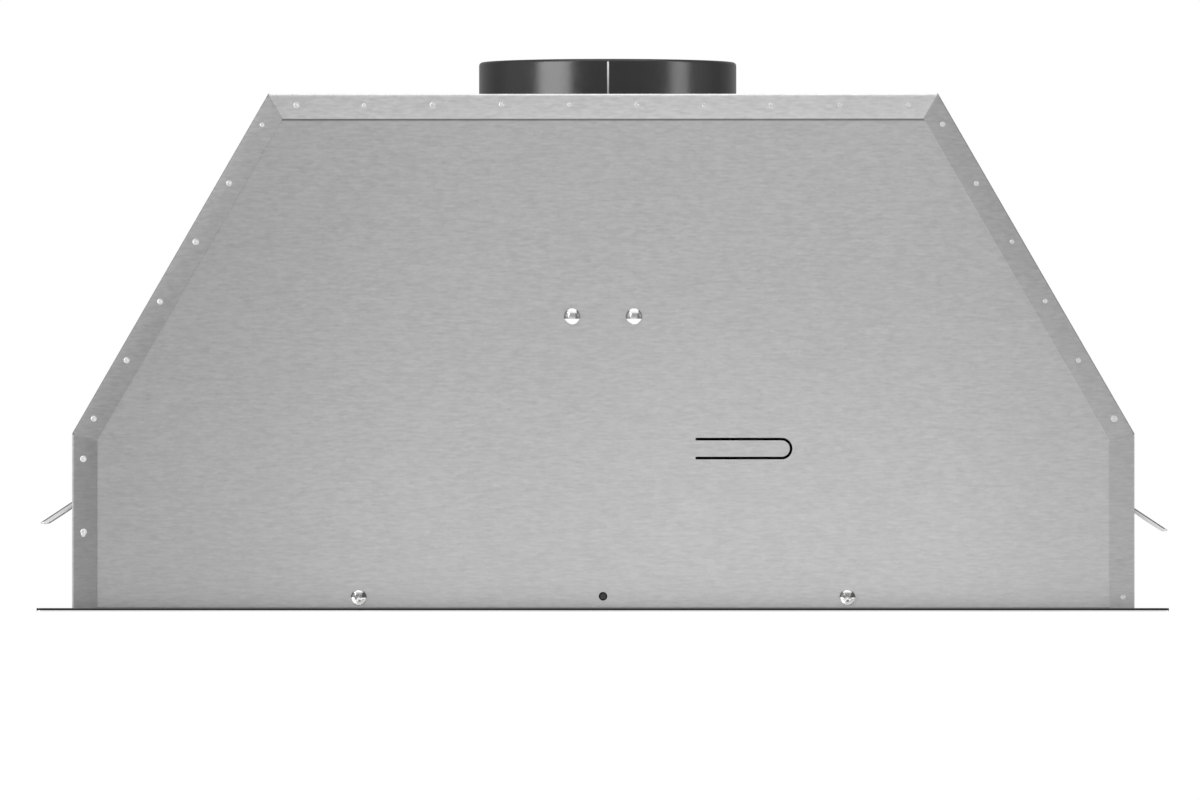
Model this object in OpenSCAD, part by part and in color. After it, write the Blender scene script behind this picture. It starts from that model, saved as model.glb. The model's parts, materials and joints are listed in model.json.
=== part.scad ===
// Built-in range hood: a galvanised canopy with sloped sides over a stainless
// underside tray. It holds a double-inlet centrifugal blower, a duct collar with
// two damper flaps, two baffle filters, two lamps, five push buttons and a sprung
// clip on each side. Millimetres. The origin is the middle of the trim's
// underside, +Z is up and the hood's front face looks along -Y.

/* [Canopy] */
// Width of the canopy across its upright sides
body_w = 813; // [760:1:900]
// Depth of the canopy from front lip to rear lip
body_d = 435; // [425:1:520]
// Height of the canopy's top above the trim's underside
top_z = 396.5; // [385:0.5:440]
// Height at which the sides start to slope
shoulder_z = 136.5; // [120:0.5:170]
// Angle of the sloped sides from the horizontal
slope_angle = 60; // [56:1:68]
// Thickness of the galvanised sheet
sheet = 1; // [0.8:0.1:1.4]
// Inner radius of the canopy's bends
bend_r = 1.5; // [1.2:0.1:3]
// Width of the folded weld lips
lip_w = 19; // [15:1:24]
// Opening of the mitre between two lips
mitre_gap = 0.6; // [0.4:0.1:1]
// Clearance round the edge of a face panel
panel_gap = 0.3; // [0.2:0.1:0.6]

/* [Face panel] */
// Distance between the two dome screws
dome_pitch = 47.4; // [40:0.2:80]
// Height of the dome screws
dome_z = 226; // [215:1:240]
// Distance between the two lower screws
low_pitch = 374; // [300:1:440]
// Height of the lower screws
low_z = 11; // [9:0.5:13]
// Diameter of the pilot hole between the lower screws
pilot_d = 6.6; // [4:0.2:10]
// Height of the pilot hole
pilot_z = 12; // [9:0.5:14]
// Start of the cable tab, measured from the middle
tab_x = 70.8; // [50:0.2:90]
// Length of the cable tab
tab_len = 74.2; // [50:0.2:90]
// Width of the cable tab between its two cuts
tab_w = 14.5; // [10:0.5:24]
// Width of the cuts
tab_cut = 2.1; // [1:0.1:3]
// Height of the cable tab's middle
tab_z = 125; // [90:1:150]

/* [Trim and tray] */
// How far the trim stands out at each side of the canopy
trim_side = 26; // [24:0.5:60]
// How far the trim stands out in front of the canopy and behind it
trim_front = 27.5; // [25:0.5:60]
// Thickness of the stainless sheet
tray_sheet = 1.5; // [1.2:0.1:2]
// Width of the hem folded onto the trim's edge
hem_w = 8; // [6:0.5:12]
// Radius of the trim's corners seen from below
trim_corner_r = 3; // [1:0.5:6]
// Clearance between the tray's wall and the canopy
tray_gap = 0.3; // [0.2:0.1:0.6]
// Height of the recessed panel's upper face
recess_z = 22; // [21:0.5:25]
// Distance of a trim hole from the trim's side edge
trim_hole_inset = 17; // [15:0.5:19]
// Distance from front to rear between the trim holes
trim_hole_pitch = 300; // [200:5:400]
// Diameter of the trim holes
trim_hole_d = 4.5; // [4:0.1:5.5]

/* [Filters] */
// Strip of tray between the two filters
divider_w = 24; // [20:1:40]
// Strip of tray at each side of the filters
side_strip = 26; // [20:1:50]
// Strip of tray in front of the filters
front_strip = 100; // [94:1:120]
// Strip of tray behind the filters
rear_strip = 28; // [26:1:36]
// How far a filter lies on the tray at its front and rear
filter_lap = 5; // [4:0.5:6]
// How far a filter slides back against its spring
filter_travel = 6.5; // [6.5:0.1:7]
// Clearance at each side of a filter
filter_gap = 1.5; // [1:0.1:3]
// Thickness of a filter
filter_t = 14; // [13:0.5:18]
// Thickness of the filter's frame
filter_wall = 0.8; // [0.6:0.1:1]
// Width of the frame's rails
rail_w = 14; // [12:0.5:18]
// Width of one baffle vane
vane_w = 21; // [19:0.5:23]
// Height of one baffle vane
vane_h = 7.2; // [6.6:0.1:8]
// Sheet thickness of a vane
vane_t = 0.7; // [0.5:0.1:0.8]
// Distance from one vane to the next
vane_pitch = 29; // [28:0.5:34]
// Length of a pull handle
handle_w = 62; // [50:1:80]
// Drop of a pull handle below its rail
handle_h = 15; // [12:0.5:17]
// Thickness of the handle's strap
handle_t = 1.6; // [1.2:0.1:2]
// Height of the filter spring's root
seat_z = 60; // [56:1:70]

/* [Lamps] */
// Distance of a lamp from the middle
lamp_x = 300; // [260:1:340]
// Diameter of a lamp's tube
lamp_d = 61; // [50:1:66]
// Width of the lamp's visible ring
lamp_rim_w = 6; // [4:0.5:8]
// Thickness of the lamp's visible ring
lamp_rim_t = 2; // [1.6:0.1:3]
// Height of the lamp's tube above the tray
lamp_tube_h = 8; // [6:0.5:12]

/* [Controls] */
// Diameter of a push button
button_d = 13; // [10:0.5:14]
// Distance from one button to the next
button_pitch = 24; // [22:0.5:28]
// Travel of a button
button_travel = 1.5; // [1:0.1:2]
// How far a button stands proud of the plate
button_proud = 1.2; // [0.8:0.1:2]
// Clearance round a button
button_gap = 0.3; // [0.2:0.05:0.5]
// Depth of the control plate, front to rear
plate_d = 28; // [26:1:34]
// Thickness of the control plate
plate_t = 2.5; // [2:0.1:3]

/* [Duct collar and damper] */
// Outside diameter of the duct collar
collar_d = 200; // [190:1:210]
// Wall of the duct collar
collar_wall = 1.5; // [1.2:0.1:2.5]
// Height of the collar above the canopy
collar_h = 30.5; // [26:0.5:60]
// Width of the collar's foot outside its wall
foot_w = 12; // [10:0.5:16]
// Thickness of the collar's foot
foot_t = 2; // [1.5:0.1:3]
// Width of the ledge that the flaps rest on
ledge_w = 6; // [5:0.5:9]
// Width of the seam at the collar's front
seam_w = 1.2; // [0.8:0.1:2]
// Angle of the seam to the right of the collar's front, in degrees
seam_turn = 1.1; // [0:0.1:8]
// Clearance between a flap's edge and the collar
flap_gap = 1.5; // [1:0.1:3]
// Thickness of a flap
flap_t = 1; // [0.8:0.1:1.5]
// Diameter of the damper's pin
pin_d = 3; // [2.5:0.1:3.5]
// Radial running clearance on the pin
pin_gap = 0.08; // [0.05:0.01:0.1]
// Outside diameter of a flap's knuckles
knuckle_d = 6; // [5.8:0.1:7]

/* [Blower] */
// Outside diameter of the wheel's blades
wheel_d = 184; // [176:1:190]
// Width of the wheel
wheel_w = 160; // [130:1:166]
// Number of blades
blade_count = 38; // [24:1:44]
// Depth of a blade along the radius
blade_depth = 16; // [12:0.5:18]
// Sheet thickness of a blade
blade_t = 1; // [0.8:0.1:1.4]
// How far a blade's outer edge leads its inner edge, in degrees
blade_lead = 9; // [5:0.5:12]
// Gap between the wheel and the scroll's tongue
tongue_gap = 13; // [10:0.5:16]
// Growth of the scroll's radius from tongue to outlet
scroll_growth = 47; // [40:1:52]
// Angle of the scroll's tongue
tongue_angle = 108; // [104:1:114]
// Inside width of the scroll
scroll_w = 190; // [186:1:200]
// Sheet thickness of the scroll
scroll_sheet = 1; // [0.8:0.1:1.5]
// Height of the wheel's axis
axis_z = 215; // [206:1:222]
// Radius of the hole in a scroll's side plate
inlet_r = 84.3; // [82:0.1:86]
// Depth that an inlet ring curves into the scroll
inlet_depth = 12; // [8:0.5:13]

/* [Motor] */
// Diameter of the motor
motor_d = 92; // [80:1:100]
// Diameter of the shaft
shaft_d = 10; // [8:0.5:12]
// Radial running clearance of the shaft in the motor
shaft_gap = 0.05; // [0.03:0.01:0.08]
// Width of one arm of the motor's mount
arm_w = 16; // [12:1:20]

/* [Side clips] */
// Width of a clip's leaf
clip_w = 80; // [50:1:84]
// Distance of a clip's middle in front of the hood's middle
clip_forward = 150; // [0:5:155]
// Length of a clip's leaf
clip_len = 32; // [24:0.2:34]
// Angle of the leaf below the horizontal
clip_angle = 33.5; // [28:0.5:45]
// Height midway between the roots of the two leaves
clip_z = 83; // [76:0.5:95]
// How far the left root sits above that height and the right one below it
clip_stagger = 2.8; // [0:0.1:4]
// Thickness of the leaf
clip_t = 1; // [0.8:0.1:1.2]
// Depth of the edges turned down along a leaf's front and rear
clip_edge = 1.6; // [1.2:0.1:4]

/* [Electrical] */
// Length of the junction box
jbox_w = 100; // [80:1:110]
// Depth of the junction box, front to rear
jbox_d = 90; // [70:1:100]
// Height of the junction box
jbox_h = 40; // [34:1:46]
// Distance of the junction box's middle from the hood's
jbox_x = 182; // [180:1:190]
// Diameter of a cable knock-out
knockout_d = 22; // [20:0.5:26]
// Diameter of the motor capacitor
cap_d = 34; // [30:1:38]

/* [Screws] */
// Diameter of a screw's head
head_d = 12.2; // [9:0.1:14]
// Height of a screw's head
head_h = 4; // [3:0.1:5]
// Diameter of a screw's shank
shank_d = 4.8; // [4:0.1:5]
// Diameter of a small screw's head
small_head_d = 6.6; // [6:0.1:7.4]
// Diameter of a small screw's shank
small_shank_d = 3.4; // [3:0.1:3.8]
// Clearance of a screw in its hole, on the diameter
screw_gap = 0.3; // [0.2:0.05:0.4]

/* [Hidden] */
$fn = 64;

eps = 0.01;
half_w = body_w / 2;
half_d = body_d / 2;
base_z = tray_sheet;
trim_w = body_w + 2 * trim_side;
trim_d = body_d + 2 * trim_front;
trim_t = 2 * tray_sheet;
panel_y = half_d - sheet;
panel_in_y = half_d - 2 * sheet;
plate_z = top_z - sheet;

wall_x = half_w - sheet - tray_gap;
wall_y = panel_in_y - tray_gap;
recess_x = wall_x - tray_sheet;
recess_y = wall_y - tray_sheet;
panel_u = recess_z - tray_sheet;

open_x0 = divider_w / 2;
open_x1 = recess_x - side_strip;
open_y0 = front_strip - recess_y;
open_y1 = recess_y - rear_strip;
filter_x0 = open_x0 + filter_gap;
filter_x1 = open_x1 - filter_gap;
filter_y0 = open_y0 - filter_lap;
filter_y1 = open_y1 + filter_lap;
filter_mid_x = (filter_x0 + filter_x1) / 2;
filter_z0 = recess_z;
filter_z1 = recess_z + filter_t;
vane_room = filter_x1 - filter_x0 - 2 * filter_wall - vane_w;
vane_count = floor(vane_room / vane_pitch) + 1;

strip_y = front_strip / 2 - recess_y;

collar_r = collar_d / 2;
collar_in_r = collar_r - collar_wall;
foot_r = collar_r + foot_w;
outlet_r = collar_in_r - ledge_w;
ledge_z = top_z + foot_t;
flap_r = collar_in_r - flap_gap;
pin_r = pin_d / 2;
knuckle_r = knuckle_d / 2;
pin_z = ledge_z + knuckle_r + 0.2;
boss_depth = 6;
boss_w = 10;
flap_inner_x = knuckle_r + 0.6;
knuckle_gap = 4;
knuckle_len = (collar_in_r - boss_depth - 3.5 * knuckle_gap) / 2;

wheel_r = wheel_d / 2;
blade_in_r = wheel_r - blade_depth;
rim_t = 3;
scroll_r0 = wheel_r + tongue_gap;
scroll_r1 = scroll_r0 + scroll_growth;
axis_y = -(scroll_r1 + scroll_r0 * cos(tongue_angle)) / 2;
plate_x = scroll_w / 2 + scroll_sheet;
flange_w = 16;
ring_t = 1.2;
ring_flange_w = 10;
ring_x = plate_x + ring_t;
motor_x0 = 12;
motor_r = motor_d / 2;
shaft_r = shaft_d / 2;
mount_t = 2;
motor_screw_r = inlet_r + ring_flange_w / 2;

stay_margin = 12;
stay_x = dome_pitch / 2 + stay_margin;
stay_t = 1.5;
stay_rise = 18;
stay_lap = 8;
stay_reach = 24;
stay_lip = 7.5;

cap_r = cap_d / 2;
cap_h = 62;
cap_drop = 25;
cap_band_t = 2;
cap_band_w = 16;
cap_x = plate_x + cap_band_t + cap_r;
cap_y = axis_y + inlet_r + ring_flange_w + cap_r + 3 * cap_band_t;

jbox_t = 1;
driver_gap = 30;
driver_len = 90;
driver_d = 44;
driver_h = 24;
ear_len = 10;
ear_t = 2;

screw_len = 9;
small_head_h = 2;

blower_screw_x = plate_x + flange_w / 2;
blower_screw_y = sqrt(max(pow(foot_r + 9, 2) - pow(blower_screw_x, 2), 400));

button_r = button_d / 2;
button_count = 5;
shoulder_r = button_r + 1.5;
shoulder_t = 1.2;
cutout_w = button_pitch * (button_count - 1) + 2 * (shoulder_r + 1);
cutout_d = 2 * (shoulder_r + 1);
block_cavity = recess_z + 2;
stem_r = 2;
stem_top = panel_u + shoulder_t + 10;

lamp_r = lamp_d / 2;
lens_r = lamp_r - 1.6;
lens_z = panel_u - lamp_rim_t + 0.8;
lens_t = 2.5;
lens_lap = 2.5;
module_z = lens_z + lens_t;
tube_top = recess_z + lamp_tube_h;

root_x = half_w - sheet - 0.5;
clip_y = -clip_forward;
clip_window_w = clip_w + 4;
clip_window_h = clip_len + 2;
clip_window_rise = 1.5;
clip_base_t = 1;
clip_base_gap = 2;
clip_base_h = 20;
clip_corner = 3;
clip_edge_start = 2;
clip_edge_sag = clip_edge / 3;

seat_t = 1.2;
seat_margin = 5;
seat_gap = 1.5;
seat_h = 20;
spring_t = 0.8;
spring_w = 60;
spring_root_y = panel_in_y - seat_t - 1;
spring_tip_r = 1.2;
spring_tip_z = filter_z0 + filter_t / 2;
spring_tip_y = filter_y1 + spring_tip_r + 0.3;

// Unit vector along v
function unit(v) = v / norm(v);

// Points of one corner at p, rounded to radius r between neighbours a and b
function corner(a, p, b, r, n) = r <= 0 ? [p] :
    let (
        u = unit(a - p),
        v = unit(b - p),
        h = acos(u * v) / 2,
        c = p + unit(u + v) * r / sin(h),
        s = p + u * r / tan(h) - c,
        e = p + v * r / tan(h) - c,
        a0 = atan2(s[1], s[0]),
        d = atan2(e[1], e[0]) - a0,
        turn = d > 180 ? d - 360 : d < -180 ? d + 360 : d
    )
    [for (k = [0:n]) c + r * [cos(a0 + turn * k / n), sin(a0 + turn * k / n)]];

// An outline with each corner rounded to its own radius
function rounded(pts, r, n = 4) = let (m = len(pts)) [
    for (i = [0:m - 1])
        each corner(pts[(i + m - 1) % m], pts[i], pts[(i + 1) % m], is_list(r) ? r[i] : r, n)
];

function rect(w, d, r) = rounded([[-w, -d], [w, -d], [w, d], [-w, d]] / 2, r);

// The shoulder and the top corner on the right, moved in by s from the outside
function bend_pts(s) = let (c = cos(slope_angle), n = sin(slope_angle)) [
    [half_w - s, shoulder_z - s * (1 - n) / c],
    [half_w - (s + (top_z - s - shoulder_z) * c) / n, top_z - s]
];

function flip(p) = [-p[0], p[1]];

// Height of the clip's root on the right (1) or the left (-1)
function clip_root_z(side) = clip_z - side * clip_stagger;

// The canopy's outline moved in by s, closed along the height z
function canopy_outline(s, z) = let (b = bend_pts(s), r = max(bend_r + sheet - s, 0))
    rounded(
        [[half_w - s, z], b[0], b[1], flip(b[1]), flip(b[0]), [s - half_w, z]],
        [0, r, r, r, r, 0]
    );

// A box between two corners
module block(a, b) translate(a) cube(b - a);

// Stands a drawing upright, from y to y + t
module upright(y, t) translate([0, y + t, 0]) rotate([90, 0, 0]) linear_extrude(t) children();

// Turns a drawing of (y, z) into a slab centred on x = 0
module along_x(t) rotate([90, 0, 90]) linear_extrude(t, center = true) children();

module blower_axis() translate([0, axis_y, axis_z]) children();

// Points a child's +Z along +X
module to_x() rotate([0, 90, 0]) children();

module at_lamp(side) translate([side * lamp_x, strip_y, 0]) children();

module mirrored(side) mirror([side < 0 ? 1 : 0, 0, 0]) children();

// A screw with a domed head on z = 0 and its shank below
module screw(head_r, h, shank_r, len) {
    ball_r = (head_r * head_r + h * h) / (2 * h);
    intersection() {
        translate([0, 0, h - ball_r]) sphere(ball_r);
        cylinder(r = head_r, h = h);
    }
    translate([0, 0, -len]) cylinder(r = shank_r, h = len);
}

// A screw with a pan head and a cross recess
module pan_screw(head_r, h, shank_r, len) {
    difference() {
        union() {
            cylinder(r = head_r, h = h * 0.5);
            translate([0, 0, h * 0.5 - eps]) cylinder(r1 = head_r, r2 = head_r * 0.6, h = h * 0.5);
        }
        for (a = [0, 90]) rotate(a) translate([-head_r * 0.45, -head_r * 0.09, h * 0.55])
            cube([head_r * 0.9, head_r * 0.18, h]);
    }
    translate([0, 0, -len]) cylinder(r = shank_r, h = len);
}

module small_screw(len) pan_screw(small_head_d / 2, small_head_h, small_shank_d / 2, len);

module small_hole() cylinder(d = small_shank_d + screw_gap, h = 60, center = true);

// Places on the face panels, at their real heights
module at_dome() for (s = [-1, 1]) translate([s * dome_pitch / 2, dome_z]) children();

module at_low() for (s = [-1, 1]) translate([s * low_pitch / 2, low_z]) children();

module at_collar_screws()
    for (a = [45:90:315]) rotate(a) translate([collar_r + foot_w / 2, 0, 0]) children();

module at_blower_screws()
    for (x = [-1, 1], y = [-1, 1]) translate([x * blower_screw_x, y * blower_screw_y, 0]) children();

module at_motor_screws()
    for (a = [90:120:330]) rotate([a, 0, 0]) translate([0, 0, motor_screw_r]) children();

// Canopy

// A thin cut along the fold line between two lips
module mitre(p, q) {
    d = unit(q - p);
    n = [-d[1], d[0]] * mitre_gap / 2;
    polygon([p + n, q + d + n, q + d - n, p - n]);
}

module lip_ring() difference() {
    polygon(canopy_outline(0, base_z));
    polygon(canopy_outline(lip_w, base_z - 1));
    for (i = [0, 1]) {
        mitre(bend_pts(2 * sheet)[i], bend_pts(lip_w)[i]);
        mitre(flip(bend_pts(2 * sheet)[i]), flip(bend_pts(lip_w)[i]));
    }
}

// A ring cut that leaves two ties, ready to be knocked out
module knockout_cut(t) difference() {
    cylinder(d = knockout_d, h = t, center = true);
    cylinder(d = knockout_d - 1.6, h = t + 1, center = true);
    cube([knockout_d + 1, 3, t + 1], center = true);
}

// The window that a side clip's leaf springs out of
module clip_window(side)
    translate([side * (half_w - sheet), clip_y, clip_root_z(side) + clip_window_rise - clip_window_h / 2])
        cube([6 * sheet, clip_window_w, clip_window_h], center = true);

module canopy_wrap() color("silver") difference() {
    union() {
        upright(-half_d, body_d) difference() {
            polygon(canopy_outline(0, base_z));
            polygon(canopy_outline(sheet, base_z - 1));
        }
        upright(-half_d, sheet) lip_ring();
        upright(half_d - sheet, sheet) lip_ring();
    }
    translate([0, 0, plate_z]) {
        cylinder(r = outlet_r, h = 4 * sheet, center = true);
        at_collar_screws() small_hole();
        at_blower_screws() small_hole();
    }
    translate([-jbox_x, 0, top_z]) knockout_cut(6 * sheet);
    for (s = [-1, 1]) clip_window(s);
}

module face_outline() polygon(canopy_outline(sheet + panel_gap, base_z));

module low_holes() at_low() circle(d = shank_d + screw_gap);

// Two straight cuts joined by a half circle, open towards the middle
module tab_cut_shape() {
    end_x = tab_len - (tab_w + tab_cut) / 2;
    difference() {
        union() {
            translate([0, -(tab_w + tab_cut) / 2]) square([end_x, tab_w + tab_cut]);
            translate([end_x, 0]) circle(d = tab_w + tab_cut);
        }
        translate([-1, -(tab_w - tab_cut) / 2]) square([end_x + 1, tab_w - tab_cut]);
        translate([end_x, 0]) circle(d = tab_w - tab_cut);
    }
}

module front_panel() color("silver") upright(-panel_y, sheet) difference() {
    face_outline();
    low_holes();
    at_dome() circle(d = shank_d + screw_gap);
    translate([0, pilot_z]) circle(d = pilot_d);
    translate([tab_x, tab_z]) tab_cut_shape();
}

module rear_panel() color("silver") upright(panel_in_y, sheet) difference() {
    face_outline();
    low_holes();
    translate([0, pilot_z]) circle(d = pilot_d);
}

// Underside tray

module underside_tray() color("gainsboro") difference() {
    union() {
        linear_extrude(tray_sheet) polygon(rect(trim_w, trim_d, trim_corner_r));
        linear_extrude(trim_t) difference() {
            polygon(rect(trim_w, trim_d, trim_corner_r));
            polygon(rect(trim_w - 2 * hem_w, trim_d - 2 * hem_w, 0));
        }
        block([-wall_x, -wall_y, 0], [wall_x, wall_y, recess_z]);
    }
    block([-recess_x, -recess_y, -1], [recess_x, recess_y, panel_u]);
    for (s = [-1, 1]) {
        block(
            [s > 0 ? open_x0 : -open_x1, open_y0, 0],
            [s > 0 ? open_x1 : -open_x0, open_y1, recess_z + 1]
        );
        at_lamp(s) cylinder(r = lamp_r, h = recess_z + 1);
        for (y = [-1, 1]) translate([s * (trim_w / 2 - trim_hole_inset), y * trim_hole_pitch / 2, -1])
            cylinder(d = trim_hole_d, h = trim_t + 2);
    }
    translate([0, strip_y, recess_z]) cube([cutout_w, cutout_d, 4 * tray_sheet], center = true);
    upright(-half_d - 1, body_d + 2) {
        low_holes();
        translate([0, pilot_z]) circle(d = pilot_d);
    }
}

// Duct collar and damper

module boss_block() block([-boss_w / 2, collar_in_r - boss_depth, ledge_z - eps],
    [boss_w / 2, collar_r - collar_wall / 2, pin_z + knuckle_r + 0.4]);

module duct_collar() color("black") difference() {
    union() {
        translate([0, 0, top_z]) difference() {
            union() {
                cylinder(r = collar_r, h = collar_h);
                cylinder(r = foot_r, h = foot_t);
            }
            translate([0, 0, foot_t]) cylinder(r = collar_in_r, h = collar_h);
            translate([0, 0, -1]) cylinder(r = outlet_r, h = collar_h);
        }
        for (a = [0, 180]) rotate(a) boss_block();
    }
    translate([0, 0, pin_z]) rotate([90, 0, 0])
        cylinder(r = pin_r, h = 2 * collar_in_r - 1, center = true);
    rotate(seam_turn)
        block([-seam_w / 2, -collar_r - 1, ledge_z], [seam_w / 2, 0.4 - collar_r, top_z + collar_h + 1]);
    translate([0, 0, ledge_z]) at_collar_screws() small_hole();
}

module damper_pin() color("silver") translate([0, 0, pin_z]) rotate([90, 0, 0])
    cylinder(r = pin_r, h = 2 * collar_in_r - 1, center = true);

// The right flap, with its knuckles on every second place along the pin
module flap(first) {
    pitch = knuckle_len + knuckle_gap;
    difference() {
        union() {
            translate([0, 0, ledge_z]) linear_extrude(flap_t) difference() {
                intersection() {
                    circle(r = flap_r);
                    translate([flap_inner_x, -flap_r]) square([flap_r, 2 * flap_r]);
                }
                for (s = [-1, 1]) translate([0, s * flap_r])
                    square([boss_w + 7, 2 * boss_depth + 2], center = true);
            }
            for (k = [first, first + 2]) translate([0, (k - 1.5) * pitch, 0]) {
                translate([0, 0, pin_z]) rotate([90, 0, 0])
                    cylinder(r = knuckle_r, h = knuckle_len, center = true);
                translate([flap_inner_x / 2 + 0.5, 0, ledge_z + flap_t / 2])
                    cube([flap_inner_x + 1, knuckle_len, flap_t], center = true);
            }
        }
        translate([0, 0, pin_z]) rotate([90, 0, 0])
            cylinder(r = pin_r + pin_gap, h = 2 * collar_r, center = true);
    }
}

module damper_flap_left() color("dimgray") mirror([1, 0, 0]) flap(0);

module damper_flap_right() color("dimgray") flap(1);

// Blower

function spiral_r(a) = scroll_r0 + scroll_growth * (a - tongue_angle) / (360 - tongue_angle);

// Outline of the scroll grown by s: down the tongue, round the spiral, up the back
function scroll_outline(s) = let (
        top = plate_z - axis_z,
        tongue_y = scroll_r0 * cos(tongue_angle) - s,
        a0 = tongue_angle + s / scroll_r0 * 60,
        n = 40
    )
    concat(
        [[tongue_y, top]],
        [for (k = [0:n]) let (a = a0 + (360 - a0) * k / n) (spiral_r(a) + s) * [cos(a), sin(a)]],
        [[scroll_r1 + s, top]]
    );

module scroll_wrapper() color("lightgray") blower_axis() along_x(scroll_w) {
    difference() {
        polygon(scroll_outline(scroll_sheet));
        polygon(concat(scroll_outline(0), [
            [scroll_r1, plate_z - axis_z + 1],
            [scroll_r0 * cos(tongue_angle), plate_z - axis_z + 1]
        ]));
    }
    front_y = scroll_r0 * cos(tongue_angle) - scroll_sheet;
    translate([front_y - flange_w + scroll_sheet, plate_z - axis_z - scroll_sheet])
        square([flange_w, scroll_sheet]);
    translate([scroll_r1, plate_z - axis_z - scroll_sheet]) square([flange_w, scroll_sheet]);
}

// The right side plate, with a flange that hangs it from the canopy's top
module side_plate() difference() {
    union() {
        blower_axis() translate([plate_x - scroll_sheet / 2, 0, 0]) along_x(scroll_sheet)
            polygon(scroll_outline(scroll_sheet));
        block([plate_x - eps, -outlet_r, plate_z - scroll_sheet],
            [plate_x + flange_w, outlet_r, plate_z]);
    }
    blower_axis() {
        to_x() cylinder(r = inlet_r, h = 2 * plate_x);
        at_motor_screws() to_x() cylinder(d = small_shank_d + screw_gap, h = 2 * plate_x);
    }
    translate([0, 0, plate_z]) at_blower_screws() small_hole();
}

module scroll_left_plate() color("lightgray") mirror([1, 0, 0]) side_plate();

module scroll_right_plate() color("lightgray") side_plate();

// A bellmouth that turns the air into the wheel, as (radius, distance from the middle)
function bell(r, x, dx) = [for (t = [0:15:90]) [r - 8 * sin(t), x - dx * (1 - cos(t))]];

module inlet_ring() blower_axis() difference() {
    r = inlet_r - 0.3;
    inner = bell(r - ring_t, ring_x, inlet_depth + ring_t);
    to_x() rotate_extrude() polygon(concat(
        [[inlet_r + ring_flange_w, plate_x]],
        bell(r, plate_x, inlet_depth),
        [for (i = [len(inner) - 1:-1:0]) inner[i]],
        [[inlet_r + ring_flange_w, ring_x]]
    ));
    at_motor_screws() to_x() cylinder(d = small_shank_d + screw_gap, h = 2 * plate_x);
}

module inlet_ring_left() color("whitesmoke") mirror([1, 0, 0]) inlet_ring();

module inlet_ring_right() color("whitesmoke") inlet_ring();

// Section of one forward-curved blade: its angle grows with the square of the radius
function blade_edge(side) = [
    for (k = [0:6]) let (
        t = k / 6,
        r = blade_in_r + blade_depth * t,
        a = blade_lead * t * t + side * blade_t / 2 / r * 180 / PI
    ) r * [cos(a), sin(a)]
];

module blade_section() {
    back = blade_edge(1);
    polygon(concat(blade_edge(-1), [for (i = [len(back) - 1:-1:0]) back[i]]));
}

// The ring that joins the blades' ends
module rim(x) translate([x, 0, 0]) to_x() difference() {
    cylinder(r = wheel_r + 1, h = rim_t, center = true);
    cylinder(r = wheel_r - blade_depth * 0.3, h = rim_t + 1, center = true);
}

module blower_wheel() color("lightgray") blower_axis() difference() {
    union() {
        along_x(wheel_w) for (i = [0:blade_count - 1]) rotate(i * 360 / blade_count) blade_section();
        to_x() cylinder(r = wheel_r - blade_depth * 0.4, h = 2, center = true);
        for (s = [-1, 1]) rim(s * (wheel_w - rim_t) / 2);
        translate([-22, 0, 0]) to_x() cylinder(r = shaft_r + 9, h = 22);
    }
    to_x() cylinder(r = shaft_r, h = 60, center = true);
}

module wheel_shaft() color("silver") blower_axis() translate([-25, 0, 0]) to_x()
    cylinder(r = shaft_r, h = 85);

// Motor

module motor() color("dimgray") blower_axis() difference() {
    union() {
        translate([motor_x0 + 8, 0, 0]) to_x() cylinder(r = motor_r, h = ring_x - motor_x0 - 14);
        translate([motor_x0, 0, 0]) to_x() cylinder(r1 = motor_r * 0.7, r2 = motor_r, h = 8 + eps);
        translate([ring_x - 6 - eps, 0, 0]) to_x()
            cylinder(r1 = motor_r, r2 = motor_r * 0.8, h = 6 + eps);
    }
    translate([motor_x0 - 1, 0, 0]) to_x() cylinder(r = shaft_r + shaft_gap, h = 55);
    for (a = [0:30:330]) rotate([a, 0, 0])
        block([motor_x0 + 24, -1.5, motor_r - 4], [ring_x - 24, 1.5, motor_r + 1]);
}

module motor_mount() color("silver") blower_axis() difference() {
    union() {
        translate([ring_x, 0, 0]) to_x() cylinder(r = motor_r * 0.8, h = mount_t);
        for (a = [90:120:330]) rotate([a, 0, 0])
            block([ring_x, -arm_w / 2, 0], [ring_x + mount_t, arm_w / 2, inlet_r + ring_flange_w]);
    }
    at_motor_screws() to_x() cylinder(d = small_shank_d + screw_gap, h = 2 * plate_x);
}

// The stay that ties the scroll to the front panel behind the dome screws
module blower_stay() color("silver") difference() {
    bend_z = dome_z + stay_margin;
    back_y = axis_y - scroll_r0 + stay_lap;
    front_y = axis_y - scroll_r0 - stay_reach;
    union() {
        block([-stay_x, -panel_in_y, dome_z - stay_margin], [stay_x, stay_t - panel_in_y, bend_z]);
        block([-stay_x, -panel_in_y, bend_z - stay_t], [stay_x, back_y, bend_z]);
        block([-stay_x, front_y, bend_z - stay_t], [stay_x, back_y, bend_z + stay_rise]);
    }
    blower_axis() along_x(body_w) polygon(scroll_outline(scroll_sheet));
    upright(-half_d, stay_margin) at_dome() circle(d = shank_d + screw_gap);
    block([-stay_x - 1, front_y - 1, bend_z],
        [stay_x + 1, front_y + stay_lip, bend_z + stay_rise + 1]);
}

// Electrical

module capacitor() color("whitesmoke") translate([-cap_x, cap_y, axis_z - cap_drop])
    cylinder(r = cap_r, h = cap_h);

module capacitor_clip() color("silver") difference() {
    block([-plate_x - cap_r, cap_y - cap_r - cap_band_t, axis_z - cap_band_w / 2],
        [-plate_x, cap_y + cap_r + cap_band_t, axis_z + cap_band_w / 2]);
    translate([-cap_x, cap_y, axis_z - cap_h]) cylinder(r = cap_r, h = 2 * cap_h);
}

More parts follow.
